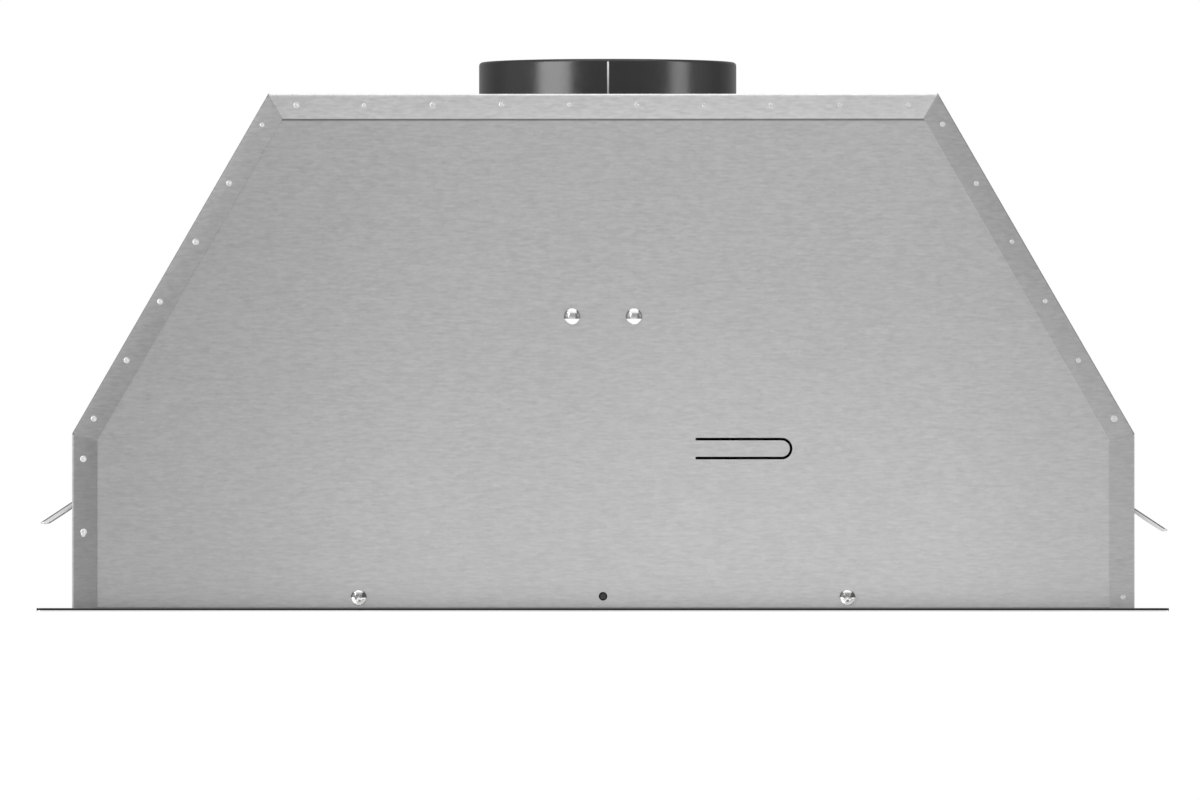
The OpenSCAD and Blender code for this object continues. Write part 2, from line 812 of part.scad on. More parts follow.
module junction_box() color("silver") translate([-jbox_x, 0, 0]) difference() {
    block([-jbox_w / 2, -jbox_d / 2, plate_z - jbox_h], [jbox_w / 2, jbox_d / 2, plate_z]);
    block([jbox_t - jbox_w / 2, jbox_t - jbox_d / 2, plate_z - jbox_h - 1],
        [jbox_w / 2 - jbox_t, jbox_d / 2 - jbox_t, plate_z - jbox_t]);
    translate([0, 0, plate_z]) knockout_cut(6 * jbox_t);
    for (y = [-1, 1]) translate([0, y * jbox_d / 2, plate_z - jbox_h / 2]) rotate([90, 0, 0])
        knockout_cut(6 * jbox_t);
}

module junction_cover() color("silver") translate([-jbox_x, 0, plate_z - jbox_h]) {
    tab_h = 8 * jbox_t;
    block([-jbox_w / 2, -jbox_d / 2, -jbox_t], [jbox_w / 2, jbox_d / 2, 0]);
    for (y = [-1, 1]) translate([0, y * (jbox_d / 2 - 2 * jbox_t), 0])
        block([tab_h - jbox_w / 2, -jbox_t / 2, -eps], [jbox_w / 2 - tab_h, jbox_t / 2, tab_h]);
}

module lamp_driver() color("dimgray") {
    x0 = cutout_w / 2 + driver_gap;
    x1 = x0 + driver_len;
    difference() {
        union() {
            block([x0, strip_y - driver_d / 2, recess_z],
                [x1, strip_y + driver_d / 2, recess_z + driver_h]);
            block([x0 - ear_len, strip_y - ear_len, recess_z],
                [x1 + ear_len, strip_y + ear_len, recess_z + ear_t]);
        }
        for (x = [x0 - ear_len / 2, x1 + ear_len / 2]) translate([x, strip_y, recess_z]) small_hole();
    }
}

// Lamps

module lamp_ring() color("silver") difference() {
    union() {
        translate([0, 0, panel_u - lamp_rim_t]) cylinder(r1 = lamp_r + lamp_rim_w - 1,
            r2 = lamp_r + lamp_rim_w, h = lamp_rim_t);
        translate([0, 0, panel_u - eps]) cylinder(r = lamp_r - 0.3, h = tube_top - panel_u + eps);
    }
    translate([0, 0, lens_z]) cylinder(r = lens_r, h = 60);
    cylinder(r = lens_r - lens_lap, h = 60);
}

module lamp_lens() color("white") translate([0, 0, lens_z]) cylinder(r = lens_r - 0.1, h = lens_t);

// A lamp module with a finned heat sink that hangs on the ring's tube
module lamp_module() color("dimgray") difference() {
    union() {
        translate([0, 0, module_z]) cylinder(r = lens_r - 0.3, h = tube_top - module_z + eps);
        translate([0, 0, tube_top]) cylinder(r = lamp_r + 3, h = 3);
        for (k = [0:2]) translate([0, 0, tube_top + 3 + k * 6]) {
            translate([0, 0, -eps]) cylinder(r = lamp_r * 0.4, h = 6 + 2 * eps);
            translate([0, 0, 4]) cylinder(r = lamp_r - 2, h = 2);
        }
    }
}

module lamp_ring_left() at_lamp(-1) lamp_ring();
module lamp_ring_right() at_lamp(1) lamp_ring();
module lamp_lens_left() at_lamp(-1) lamp_lens();
module lamp_lens_right() at_lamp(1) lamp_lens();
module lamp_module_left() at_lamp(-1) lamp_module();
module lamp_module_right() at_lamp(1) lamp_module();

// Controls

module at_button(i) translate([(i - (button_count - 1) / 2) * button_pitch, strip_y, panel_u]) children();

module control_plate() color("black") difference() {
    translate([0, strip_y, panel_u - plate_t]) linear_extrude(plate_t)
        polygon(rect(cutout_w + 34, plate_d, 6));
    for (i = [0:button_count - 1]) at_button(i)
        cylinder(r = button_r + button_gap, h = 3 * plate_t, center = true);
}

module switch_block() color("black") difference() {
    translate([0, strip_y, 0]) block([-cutout_w / 2 - 6, -cutout_d / 2 - 5, recess_z],
        [cutout_w / 2 + 6, cutout_d / 2 + 5, stem_top + button_travel + 5]);
    translate([0, strip_y, 0]) block([-cutout_w / 2, -cutout_d / 2, recess_z - 1],
        [cutout_w / 2, cutout_d / 2, block_cavity]);
    for (i = [0:button_count - 1]) at_button(i)
        cylinder(r = stem_r + 0.3, h = stem_top - panel_u + button_travel + 1);
}

module button(i) color("gainsboro") at_button(i) {
    translate([0, 0, -plate_t]) cylinder(r = button_r, h = plate_t + eps);
    translate([0, 0, -plate_t - button_proud])
        cylinder(r1 = button_r - 0.6, r2 = button_r, h = button_proud + eps);
    cylinder(r = shoulder_r, h = shoulder_t);
    cylinder(r = stem_r, h = stem_top - panel_u);
}

module button_light() button(0);
module button_off() button(1);
module button_low() button(2);
module button_medium() button(3);
module button_high() button(4);

// Filters, drawn on the right

module filter_frame() color("silver") difference() {
    block([filter_x0, filter_y0, filter_z0], [filter_x1, filter_y1, filter_z1]);
    block([filter_x0 + filter_wall, filter_y0 + filter_wall, filter_z0 + filter_wall],
        [filter_x1 - filter_wall, filter_y1 - filter_wall, filter_z1 - filter_wall]);
    block([filter_x0 + rail_w, filter_y0 + rail_w, filter_z0 - 1],
        [filter_x1 - rail_w, filter_y1 - rail_w, filter_z1 + 1]);
}

// A channel with its mouth up, turned down by the upper row
module vane_section() difference() {
    translate([-vane_w / 2, 0]) square([vane_w, vane_h]);
    translate([vane_t - vane_w / 2, vane_t]) square([vane_w - 2 * vane_t, vane_h]);
}

module vane_row(count) {
    len = filter_y1 - filter_y0 - 2 * filter_wall - 0.4;
    for (i = [0:count - 1])
        translate([filter_mid_x + (i - (count - 1) / 2) * vane_pitch, 0, 0])
            upright(filter_y0 + filter_wall + 0.2, len) children();
}

module lower_vanes() color("gainsboro") vane_row(vane_count)
    translate([0, filter_z0 + filter_wall]) vane_section();

module upper_vanes() color("gainsboro") vane_row(vane_count - 1)
    translate([0, filter_z1 - filter_wall]) mirror([0, 1]) vane_section();

// Outline of the handle's strap: a wide U with feet that lie on the rail
module handle_section() difference() {
    polygon(rounded([
        [-handle_w / 2 - 8, 0], [-handle_w / 2 - 8, -handle_t], [-handle_w / 2, -handle_t],
        [-handle_w / 2, -handle_h], [handle_w / 2, -handle_h], [handle_w / 2, -handle_t],
        [handle_w / 2 + 8, -handle_t], [handle_w / 2 + 8, 0]
    ], [0, 0, 0, 5, 5, 0, 0, 0]));
    polygon(rounded([
        [handle_t - handle_w / 2, 1], [handle_t - handle_w / 2, handle_t - handle_h],
        [handle_w / 2 - handle_t, handle_t - handle_h], [handle_w / 2 - handle_t, 1]
    ], [0, 5 - handle_t, 5 - handle_t, 0]));
}

module filter_handle() color("silver")
    upright(filter_y0 + filter_lap + 1, rail_w - filter_lap - 2)
    translate([filter_mid_x, filter_z0]) handle_section();

module filter_frame_left() mirror([1, 0, 0]) filter_frame();
module filter_frame_right() filter_frame();
module lower_vanes_left() mirror([1, 0, 0]) lower_vanes();
module lower_vanes_right() lower_vanes();
module upper_vanes_left() mirror([1, 0, 0]) upper_vanes();
module upper_vanes_right() upper_vanes();
module filter_handle_left() mirror([1, 0, 0]) filter_handle();
module filter_handle_right() filter_handle();

// The plates on the rear panel that carry the filters' springs
module spring_seats() color("silver") for (s = [-1, 1]) translate([s * filter_mid_x, 0, 0])
    block([-spring_w / 2 - seat_margin, panel_in_y - seat_t, seat_z + seat_gap],
        [spring_w / 2 + seat_margin, panel_in_y, seat_z + seat_gap + seat_h]);

// A leaf from its root on the seat down to its rolled tip behind the filter
module filter_spring() color("silver") translate([filter_mid_x, 0, 0]) {
    root = [spring_root_y, seat_z];
    tip = [spring_tip_y, spring_tip_z];
    n = let (d = unit(tip - root)) [d[1], -d[0]] * spring_t / 2;
    along_x(spring_w) {
        polygon([root + n, tip + n, tip - n, root - n]);
        translate(root) circle(r = spring_t / 2);
        translate(tip) circle(r = spring_tip_r);
    }
}

module filter_spring_left() mirror([1, 0, 0]) filter_spring();
module filter_spring_right() filter_spring();

// Side clips

module clip_bases() color("silver") for (s = [-1, 1]) mirrored(s)
    translate([half_w - sheet - clip_base_t, clip_y - clip_w / 2, clip_root_z(s) + clip_base_gap])
        cube([clip_base_t, clip_w, clip_base_h]);

// The edge turned down along the leaf's rear, deepest in the middle
module leaf_edge() {
    half = clip_len / 2;
    bow_r = (half * half + clip_edge_sag * clip_edge_sag) / (2 * clip_edge_sag);
    translate([0, clip_w / 2, 0]) rotate([90, 0, 0]) linear_extrude(clip_t) intersection() {
        translate([clip_edge_start, -clip_edge - clip_t])
            square([clip_len - clip_corner - clip_edge_start, clip_edge + clip_t]);
        translate([half, bow_r - clip_edge - clip_t / 2]) circle(r = bow_r);
    }
}

// A leaf from its root in the window out and down, stiffened by its turned edges
module side_clip(side) color("silver")
    translate([root_x, clip_y, clip_root_z(side)]) rotate([0, clip_angle, 0]) {
        translate([0, 0, -clip_t / 2]) linear_extrude(clip_t) polygon(rounded(
            [[0, -clip_w / 2], [clip_len, -clip_w / 2], [clip_len, clip_w / 2], [0, clip_w / 2]],
            [0, clip_corner, clip_corner, 0]
        ));
        for (f = [0, 1]) mirror([0, f, 0]) leaf_edge();
    }

module side_clip_left() mirror([1, 0, 0]) side_clip(-1);
module side_clip_right() side_clip(1);

// Screws

module dome_screws() color("silver") for (s = [-1, 1])
    translate([s * dome_pitch / 2, -panel_y, dome_z]) rotate([90, 0, 0])
        screw(head_d / 2, head_h, shank_d / 2, screw_len);

module low_screws() color("silver") for (s = [-1, 1], f = [0, 180]) rotate(f)
    translate([s * low_pitch / 2, -panel_y, low_z]) rotate([90, 0, 0])
        pan_screw(head_d / 2, head_h, shank_d / 2, screw_len);

module collar_screws() color("silver") translate([0, 0, ledge_z]) at_collar_screws()
    small_screw(screw_len);

module blower_screws() color("silver") translate([0, 0, top_z]) at_blower_screws()
    small_screw(screw_len - 1);

module motor_screws() color("silver") blower_axis() translate([ring_x + mount_t, 0, 0])
    at_motor_screws() to_x() small_screw(mount_t + ring_t + scroll_sheet + 3);

canopy_wrap();
front_panel();
rear_panel();
underside_tray();
duct_collar();
damper_pin();
damper_flap_left();
damper_flap_right();
scroll_wrapper();
scroll_left_plate();
scroll_right_plate();
inlet_ring_left();
inlet_ring_right();
blower_wheel();
wheel_shaft();
motor();
motor_mount();
blower_stay();
capacitor();
capacitor_clip();
junction_box();
junction_cover();
lamp_driver();
lamp_ring_left();
lamp_ring_right();
lamp_lens_left();
lamp_lens_right();
lamp_module_left();
lamp_module_right();
control_plate();
switch_block();
button_light();
button_off();
button_low();
button_medium();
button_high();
filter_frame_left();
filter_frame_right();
lower_vanes_left();
lower_vanes_right();
upper_vanes_left();
upper_vanes_right();
filter_handle_left();
filter_handle_right();
spring_seats();
filter_spring_left();
filter_spring_right();
clip_bases();
side_clip_left();
side_clip_right();
dome_screws();
low_screws();
collar_screws();
blower_screws();
motor_screws();
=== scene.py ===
# %% [markdown]
# # A built-in range hood
#
# This is the insert that hides in a kitchen cabinet over the cooktop. A galvanised
# canopy of folded sheet holds the blower, a stainless tray with a flat trim closes
# it from below, and a black collar on its top takes the duct. The construction is
# already there as CAD parts at their real size. This file gives each piece the
# finish and the small forms of the real one: rounded folds, weld spots, pressed
# vanes and brushed steel. It is meant to be read from top to bottom, cell by cell.

# %% Load the frame
import json
import math

import bmesh
import bpy
from mathutils import Matrix, Vector

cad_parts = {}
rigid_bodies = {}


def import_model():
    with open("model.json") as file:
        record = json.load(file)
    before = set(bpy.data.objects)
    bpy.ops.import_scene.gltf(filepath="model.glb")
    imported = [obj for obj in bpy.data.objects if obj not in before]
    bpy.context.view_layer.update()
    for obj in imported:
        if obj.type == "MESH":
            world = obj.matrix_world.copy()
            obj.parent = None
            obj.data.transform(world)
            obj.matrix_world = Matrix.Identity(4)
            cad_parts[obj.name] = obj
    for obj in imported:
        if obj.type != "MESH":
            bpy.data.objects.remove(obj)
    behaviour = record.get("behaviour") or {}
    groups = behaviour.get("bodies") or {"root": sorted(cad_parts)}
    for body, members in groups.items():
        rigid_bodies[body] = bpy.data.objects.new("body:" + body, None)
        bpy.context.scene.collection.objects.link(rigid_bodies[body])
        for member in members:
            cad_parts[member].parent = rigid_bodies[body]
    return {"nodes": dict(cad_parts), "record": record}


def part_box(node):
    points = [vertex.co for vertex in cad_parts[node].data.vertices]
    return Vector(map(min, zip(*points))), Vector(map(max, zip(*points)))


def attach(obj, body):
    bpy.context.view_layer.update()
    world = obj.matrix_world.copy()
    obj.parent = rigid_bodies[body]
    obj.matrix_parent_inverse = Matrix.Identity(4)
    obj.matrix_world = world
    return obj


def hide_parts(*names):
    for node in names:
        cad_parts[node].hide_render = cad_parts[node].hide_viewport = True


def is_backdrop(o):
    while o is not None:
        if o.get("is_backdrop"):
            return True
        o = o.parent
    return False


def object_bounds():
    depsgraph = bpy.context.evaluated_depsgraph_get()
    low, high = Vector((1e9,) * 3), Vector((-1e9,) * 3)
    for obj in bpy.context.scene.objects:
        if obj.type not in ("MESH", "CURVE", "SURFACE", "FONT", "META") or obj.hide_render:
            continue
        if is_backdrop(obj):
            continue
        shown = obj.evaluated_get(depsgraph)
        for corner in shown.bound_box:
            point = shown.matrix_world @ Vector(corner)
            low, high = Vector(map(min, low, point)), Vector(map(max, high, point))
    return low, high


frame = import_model()
cad_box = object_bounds()
MM = 0.001

# %% [markdown]
# ## The camera
#
# A hood like this is photographed square-on from far away with a long lens, so that
# its trim shows as a mere line. One number sets the scale: how much of the hood one
# pixel covers at the canopy's front. The lens then follows from the distance. The
# camera stands level with the trim and a little to the right, which is why the near
# rim of the collar reads as a very flat arc.

# %% Camera
PHOTO_W, PHOTO_H = 1200, 800
PIXEL = 0.765 * MM
TRIM_PX = (603.0, 612)
CAMERA_AWAY = 13.7
CAMERA_SIDE = 230 * MM
CAMERA_HEIGHT = 4 * MM
SENSOR = 36
FAR = 200


def put(name, data):
    """Adds an object with this data to the scene."""
    made = bpy.data.objects.new(name, data)
    bpy.context.scene.collection.objects.link(made)
    return made


front_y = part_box("canopy_wrap")[0].y
aim = Vector((
    (PHOTO_W / 2 - TRIM_PX[0]) * PIXEL,
    front_y,
    (TRIM_PX[1] - PHOTO_H / 2) * PIXEL,
))
lens = bpy.data.cameras.new("camera")
lens.sensor_width = SENSOR
lens.lens = SENSOR * CAMERA_AWAY / (PHOTO_W * PIXEL)
lens.clip_end = FAR
camera = put("camera", lens)
camera.location = (CAMERA_SIDE, front_y - CAMERA_AWAY, CAMERA_HEIGHT)
camera.rotation_euler = (aim - camera.location).to_track_quat("-Z", "Y").to_euler()
bpy.context.scene.camera = camera
print("lens", round(lens.lens), "mm at", CAMERA_AWAY, "m")

# %% [markdown]
# ## Node trees as plain maths
#
# Materials are built from nodes, and wiring them by hand takes many lines. Two small
# classes make it read like maths. A Value is a number that travels along a wire, so
# `1 - mask` adds the right Math node. A Bench is a node tree with one method that
# adds a node of any type, sets it up and plugs its sockets.

# %% Values and benches
class Value:
    """The output of a node. Plain operators on it add Math nodes."""

    def __init__(self, bench, socket):
        self.bench = bench
        self.socket = socket

    def maths(self, operation, first, second):
        return self.bench.node("ShaderNodeMath", {"operation": operation}, {0: first, 1: second})

    def __add__(self, other):
        return self.maths("ADD", self, other)

    def __radd__(self, other):
        return self.maths("ADD", other, self)

    def __sub__(self, other):
        return self.maths("SUBTRACT", self, other)

    def __rsub__(self, other):
        return self.maths("SUBTRACT", other, self)

    def __mul__(self, other):
        return self.maths("MULTIPLY", self, other)

    def __rmul__(self, other):
        return self.maths("MULTIPLY", other, self)

    def __truediv__(self, other):
        return self.maths("DIVIDE", self, other)

    def __rtruediv__(self, other):
        return self.maths("DIVIDE", other, self)

    def __abs__(self):
        return self.maths("ABSOLUTE", self, 0)

    def rise(self, low, high):
        """0 below low, 1 above high and a soft step between them."""
        step = {"interpolation_type": "SMOOTHSTEP"}
        return self.bench.node("ShaderNodeMapRange", step, {"Value": self, 1: low, 2: high})


class Bench:
    """A node tree that is being wired."""

    def __init__(self, tree):
        self.tree = tree

    def node(self, kind, settings=None, inputs=None, output=0):
        made = self.tree.nodes.new(kind)
        for name, setting in (settings or {}).items():
            setattr(made, name, setting)
        for name, value in (inputs or {}).items():
            if isinstance(value, Value):
                self.tree.links.new(value.socket, made.inputs[name])
            else:
                made.inputs[name].default_value = value
        return Value(self, made.outputs[output])


def blend(one, other, mask):
    """The first where the mask is 0 and the other where it is 1."""
    return one + (other - one) * mask


print("reflected forms of a Value:", [name for name in vars(Value) if name.startswith("__r")])

# %% [markdown]
# ## Light, floor and background
#
# Product photographs of bright metal are lit by large soft sources. Two upright
# strip lights stand left and right of the camera: the collar's gloss shows them as
# two pale bands. The broad zinc sheets would glare in so strong a light when they
# mirror it, so most of it is an accent that later goes to the small glossy parts
# alone, as a photographer flags a lamp off. A wide softbox overhead brightens the
# top fold. The world is a pale studio, a bit greyer towards the camera, where a real
# room has its dark corner: that gives the flat front its middle grey. Behind the hood
# it is darker still. The camera itself sees pure white.
#
# The floor is a pale sheet with a cut-out below the hood, like the hole in a
# display table, so that light also reaches the filters and lamps from below. Seen
# from underneath the sheet is clear.

# %% Studio
# Strength of the world to the sides, and what it loses towards the camera and behind.
STUDIO_PALE, STUDIO_DIP, STUDIO_BEHIND = 0.92, 0.20, 0.55


def rays(bench, *names):
    """For each kind of ray a number that is 1 where such a ray looks."""
    return [bench.node("ShaderNodeLightPath", output=f"Is {name} Ray") for name in names]


world = bpy.data.worlds.new("studio")
bpy.context.scene.world = world
world.use_nodes = True
sky = Bench(world.node_tree)
seen, through = rays(sky, "Camera", "Transmission")
direction = sky.node("ShaderNodeTexCoord", output="Generated")
behind = sky.node("ShaderNodeSeparateXYZ", inputs={0: direction}, output="Y")
room = STUDIO_PALE - (0 - behind).rise(0.55, 1.0) * STUDIO_DIP - behind.rise(0.0, 0.5) * STUDIO_BEHIND
level = (seen + through).rise(0, 1) * (1 - room) + room
backdrop = world.node_tree.nodes["Background"]
world.node_tree.links.new(level.socket, backdrop.inputs["Strength"])
backdrop.inputs["Color"].default_value = (1, 1, 1, 1)
bpy.context.scene.view_settings.view_transform = "Standard"
print("the studio sends", STUDIO_PALE, "of white from the sides")

# %% Lamps of the studio
STRIP_AWAY, STRIP_MIDDLE, STRIP_HEIGHT, STRIP_AIM = 3.2, 0.9, 2.6, 0.4
ACCENT_BEHIND = 0.02
CANOPY_SHARE = 0.3
# Each strip: degrees round the hood, width in metres and radiance.
STRIPS = {"left": (-48, 1.75, 6.6), "right": (68, 1.0, 4.2)}


def softbox(name, place, target, size, radiance):
    """A flat light of the given width and height that looks at target."""
    lamp = bpy.data.lights.new(name, "AREA")
    lamp.shape = "RECTANGLE"
    lamp.size, lamp.size_y = size
    lamp.energy = radiance * math.pi * size[0] * size[1]
    stand = put(name, lamp)
    stand.location = place
    stand.rotation_euler = (Vector(target) - Vector(place)).to_track_quat("-Z", "Y").to_euler()
    return stand


def strip_light(name, degrees, away, width, radiance):
    """An upright softbox, turned by degrees round the hood from the camera's side."""
    turn = math.radians(degrees)
    place = (away * math.sin(turn), -away * math.cos(turn), STRIP_MIDDLE)
    return softbox(name, place, (0, 0, STRIP_AIM), (width, STRIP_HEIGHT), radiance)


accents = []
for side, (degrees, width, radiance) in STRIPS.items():
    strip_light(f"{side}_strip", degrees, STRIP_AWAY, width, radiance * CANOPY_SHARE)
    accents.append(strip_light(f"{side}_accent", degrees, STRIP_AWAY + ACCENT_BEHIND, width,
                               radiance * (1 - CANOPY_SHARE)))
softbox("overhead", (0, -0.3, 3.0), (0, 0, 0.2), (2.6, 1.8), 1.4)

# %% Floor
FLOOR_SIZE = 60
FLOOR_SINK = 0.3 * MM
CUTOUT_INSET = 14 * MM
FLOOR_GLOW = 1.08


def floor_mesh():
    """A large sheet with a rectangular hole just inside the trim."""
    low, high = cad_box
    hole = [low.x + CUTOUT_INSET, high.x - CUTOUT_INSET, low.y + CUTOUT_INSET, high.y - CUTOUT_INSET]
    xs = [-FLOOR_SIZE, hole[0], hole[1], FLOOR_SIZE]
    ys = [-FLOOR_SIZE, hole[2], hole[3], FLOOR_SIZE]
    points = [(x, y, -FLOOR_SINK) for y in ys for x in xs]
    cells = [(i, j) for j in range(3) for i in range(3) if (i, j) != (1, 1)]
    faces = [(4 * j + i, 4 * j + i + 1, 4 * j + i + 5, 4 * j + i + 4) for i, j in cells]
    mesh = bpy.data.meshes.new("floor")
    mesh.from_pydata(points, [], faces)
    return mesh


floor = put("floor", floor_mesh())
floor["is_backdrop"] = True
sheet_white = bpy.data.materials.new("floor_white")
sheet_white.use_nodes = True
table_top = Bench(sheet_white.node_tree)
sheet_white.node_tree.nodes.remove(sheet_white.node_tree.nodes["Principled BSDF"])
seen, mirrored, through = rays(table_top, "Camera", "Glossy", "Transmission")
pale = table_top.node("ShaderNodeBsdfDiffuse", inputs={"Color": (0.86, 0.86, 0.86, 1)})
glow = table_top.node("ShaderNodeEmission", inputs={"Color": (1, 1, 1, 1), "Strength": FLOOR_GLOW})
clear = table_top.node("ShaderNodeBsdfTransparent")
whiteness = seen * 0.85 + (mirrored + through) * 0.7
top_side = table_top.node("ShaderNodeMixShader", inputs={0: whiteness, 1: pale, 2: glow})
below = table_top.node("ShaderNodeNewGeometry", output="Backfacing")
both_sides = table_top.node("ShaderNodeMixShader", inputs={0: below, 1: top_side, 2: clear})
sheet_white.node_tree.links.new(
    both_sides.socket, sheet_white.node_tree.nodes["Material Output"].inputs["Surface"])
floor.data.materials.append(sheet_white)
print("floor cut-out inset", CUTOUT_INSET / MM, "mm from the trim's edge")

# %% [markdown]
# ## Finishes
#
# Every finish starts from one Principled shader. What makes it look real is what
# changes over the surface: rolled sheet has streaks along one direction, plastic
# has a fine grain, and nothing is equally dull everywhere. The patterns read Object
# coordinates, which here are metres in the hood's own frame, so a frequency is
# simply how many waves fit in a metre.

# %% A finish under construction
class Finish(Bench):
    """A material with one Principled shader and patterns laid out in metres."""

    def __init__(self, name, colour, metallic, roughness, **constants):
        self.material = bpy.data.materials.new(name)
        self.material.use_nodes = True
        super().__init__(self.material.node_tree)
        self.colour = (*colour, 1)
        self.shader = self.tree.nodes["Principled BSDF"]
        plain = {"Base Color": self.colour, "Metallic": metallic, "Roughness": roughness}
        for socket, constant in {**plain, **constants}.items():
            self.shader.inputs[socket].default_value = constant
        self.place = self.node("ShaderNodeTexCoord", output="Object")

    def axis(self, letter):
        return self.node("ShaderNodeSeparateXYZ", inputs={0: self.place}, output=letter)

    def stretched(self, per_metre):
        return self.node("ShaderNodeMapping", inputs={"Vector": self.place, "Scale": per_metre})

    def noise(self, per_metre, detail=2, rough=0.5):
        """A cloudy number from 0 to 1, with its own number of waves along each axis."""
        sizes = {"Vector": self.stretched(per_metre), "Scale": 1, "Detail": detail, "Roughness": rough}
        return self.node("ShaderNodeTexNoise", inputs=sizes)

    def crystals(self, per_metre):
        """One flat random number for each grain of a cell pattern."""
        sizes = {"Vector": self.stretched(per_metre), "Scale": 1}
        cells = self.node("ShaderNodeTexVoronoi", inputs=sizes, output="Color")
        return self.node("ShaderNodeSeparateColor", inputs={0: cells})

    def feed(self, socket, value):
        self.tree.links.new(value.socket, self.shader.inputs[socket])

    def tone(self, factor):
        """The base colour, lightened or darkened over the surface."""
        sizes = {0: self.colour[:3], "Scale": factor}
        self.feed("Base Color", self.node("ShaderNodeVectorMath", {"operation": "SCALE"}, sizes))

    def relief(self, height, depth, strength=1.0):
        """Fine bumps: depth is their height in metres."""
        sizes = {"Height": height, "Distance": depth, "Strength": strength}
        self.feed("Normal", self.node("ShaderNodeBump", inputs=sizes))


def one_pattern(name, colour, shine, grain, tone, dull, relief=None, **constants):
    """A finish whose one pattern drives its tone, its dullness and its relief."""
    finish = Finish(name, colour, *shine, **constants)
    pattern = finish.noise(*grain)
    finish.tone(tone[0] + tone[1] * pattern)
    finish.feed("Roughness", dull[0] + dull[1] * pattern)
    if relief:
        finish.relief(pattern, relief[0] * MM, relief[1])
    return finish.material


print("a finish knows", [name for name in vars(Finish) if not name.startswith("__")])

# %% [markdown]
# ### Galvanised sheet
#
# The canopy is hot-dip galvanised steel with a very fine spangle, rolled so that its
# bloom runs sideways in short streaks. It could be drawn as large crystals, as on a
# bucket, but this sheet is the smooth kind: the crystals barely show, and the eye
# sees a soft grey with a sideways grain. The lips are folded by hand-fed brake. How
# each catches the light differently from the flat panel is painted into its colour,
# each by its own amount, and so is the fall of light across the sheet.

# %% Canopy sizes
half_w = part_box("canopy_wrap")[1].x
half_d = -front_y
top_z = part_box("canopy_wrap")[1].z
base_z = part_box("canopy_wrap")[0].z
SHOULDER_Z = 136.5 * MM
SLOPE = math.radians(60)
SHEET = 1 * MM
LIP_W = 19 * MM
FOLD = 0.8 * MM
print("canopy", round(2 * half_w / MM), "x", round(2 * half_d / MM), "mm, top at", round(top_z / MM, 1))


# %% Galvanised finish
def galvanised(name, lips=False, panel=False):
    """Zinc with a sideways grain and painted light and shade, with the painted light of the lips or the
    painted shade of a face panel.
    """
    zinc = Finish(name, (0.63, 0.63, 0.635), 1.0, 0.36)
    streaks = zinc.noise((110, 160, 620), 3, 0.65)
    clouds = zinc.noise((5, 5, 7), 2, 0.5)
    spangle = zinc.crystals((260, 260, 420))
    #     Painted light and shade: the sheet is painted paler towards its foot and darker to the left
    #         and at the far right, as the light falls on it.
    painted_shade_left = 1 - zinc.axis("X").rise(-0.46, -0.05)
    painted_shade_right = zinc.axis("X").rise(0.22, 0.42)
    painted_shade_left_half = 1 - zinc.axis("X").rise(-0.1, 0.1)
    low = 1 - zinc.axis("Z").rise(0.02, 0.33)
    painted_light_wash = (0.76 + 0.138 * low) * (1 - (0.24 + 0.05 * low) * painted_shade_left) * (1 - 0.11 * painted_shade_right)
    painted_light_wash = painted_light_wash * (1 - 0.05 * painted_shade_left_half)
    grain = 0.38 * (streaks - 0.5) + 0.06 * (clouds - 0.5) + 0.05 * (spangle - 0.5)
    tone = painted_light_wash * (1 + grain)
    if lips:
        tone = tone * painted_lip_light(zinc)
    if panel:
        tone = tone * painted_panel_shade(zinc)
    zinc.tone(tone)
    zinc.feed("Roughness", 0.33 + 0.10 * streaks + 0.05 * spangle)
    zinc.relief(streaks + 0.4 * spangle, 0.03 * MM, 0.5)
    return zinc.material


print("grain of the zinc: short streaks along X")


# %% Painted light and shade of the lips and the panels
# How bright each lip is painted against the flat sheet: painted light and shade. A
# slope's lip has two numbers, its tone at the shoulder and how much it gains up to the top.
TOP_PAINTED_LIGHT = 1.315
SIDE_PAINTED_LIGHT = {"left": 0.685, "right": 0.85}
SLOPE_PAINTED_LIGHT = {"left": (0.815, 0.17), "right": (0.905, -0.048)}


def edge_distances(zinc):
    """Distances from the side, the slope and the top of the canopy."""
    from_side = half_w - abs(zinc.axis("X"))
    drop = zinc.axis("Z") - SHOULDER_Z
    return from_side, from_side * math.sin(SLOPE) - drop * math.cos(SLOPE), top_z - zinc.axis("Z")


def painted_lip_light(zinc):
    """Painted light and shade: how much lighter or darker each front or rear lip is painted than the
    flat sheet, with painted highlights along the top and left folds and painted shade on the slopes'
    folds.
    """
    from_side, from_slope, from_top = edge_distances(zinc)
    top_lip = (from_slope - from_top).rise(0, 0.5 * MM)
    side_lip = (from_slope - from_side).rise(0, 0.5 * MM)
    on_right = zinc.axis("X").rise(-0.05, 0.05)
    height = zinc.axis("Z").rise(0.13, 0.34)
    at_shoulder, rising = (blend(left, right, on_right) for left, right in
                           zip(SLOPE_PAINTED_LIGHT["left"], SLOPE_PAINTED_LIGHT["right"]))
    slope_tone = at_shoulder + rising * height
    side_tone = blend(SIDE_PAINTED_LIGHT["left"], SIDE_PAINTED_LIGHT["right"], on_right)
    tones = blend(blend(slope_tone, side_tone, side_lip), TOP_PAINTED_LIGHT, top_lip)
    painted_top_light = top_lip * (1 - from_top.rise(0.4 * MM, 2.4 * MM))
    painted_left_highlight = side_lip * (1 - on_right) * (1 - from_side.rise(0.4 * MM, 1.9 * MM))
    tones = tones * (1 + 0.42 * painted_top_light + 0.75 * painted_left_highlight)
    depth = abs(zinc.axis("Y"))
    fold_start = half_d - FOLD - 0.3 * MM
    on_face = depth.rise(fold_start, half_d - 0.5 * FOLD)
    on_fold = depth.rise(fold_start, half_d - FOLD) * (1 - from_slope.rise(0.6 * MM, FOLD))
    painted_slope_fold_shade = on_fold * (1 - top_lip) * (1 - side_lip)
    return blend(1, tones, on_face) * (1 - 0.4 * painted_slope_fold_shade)


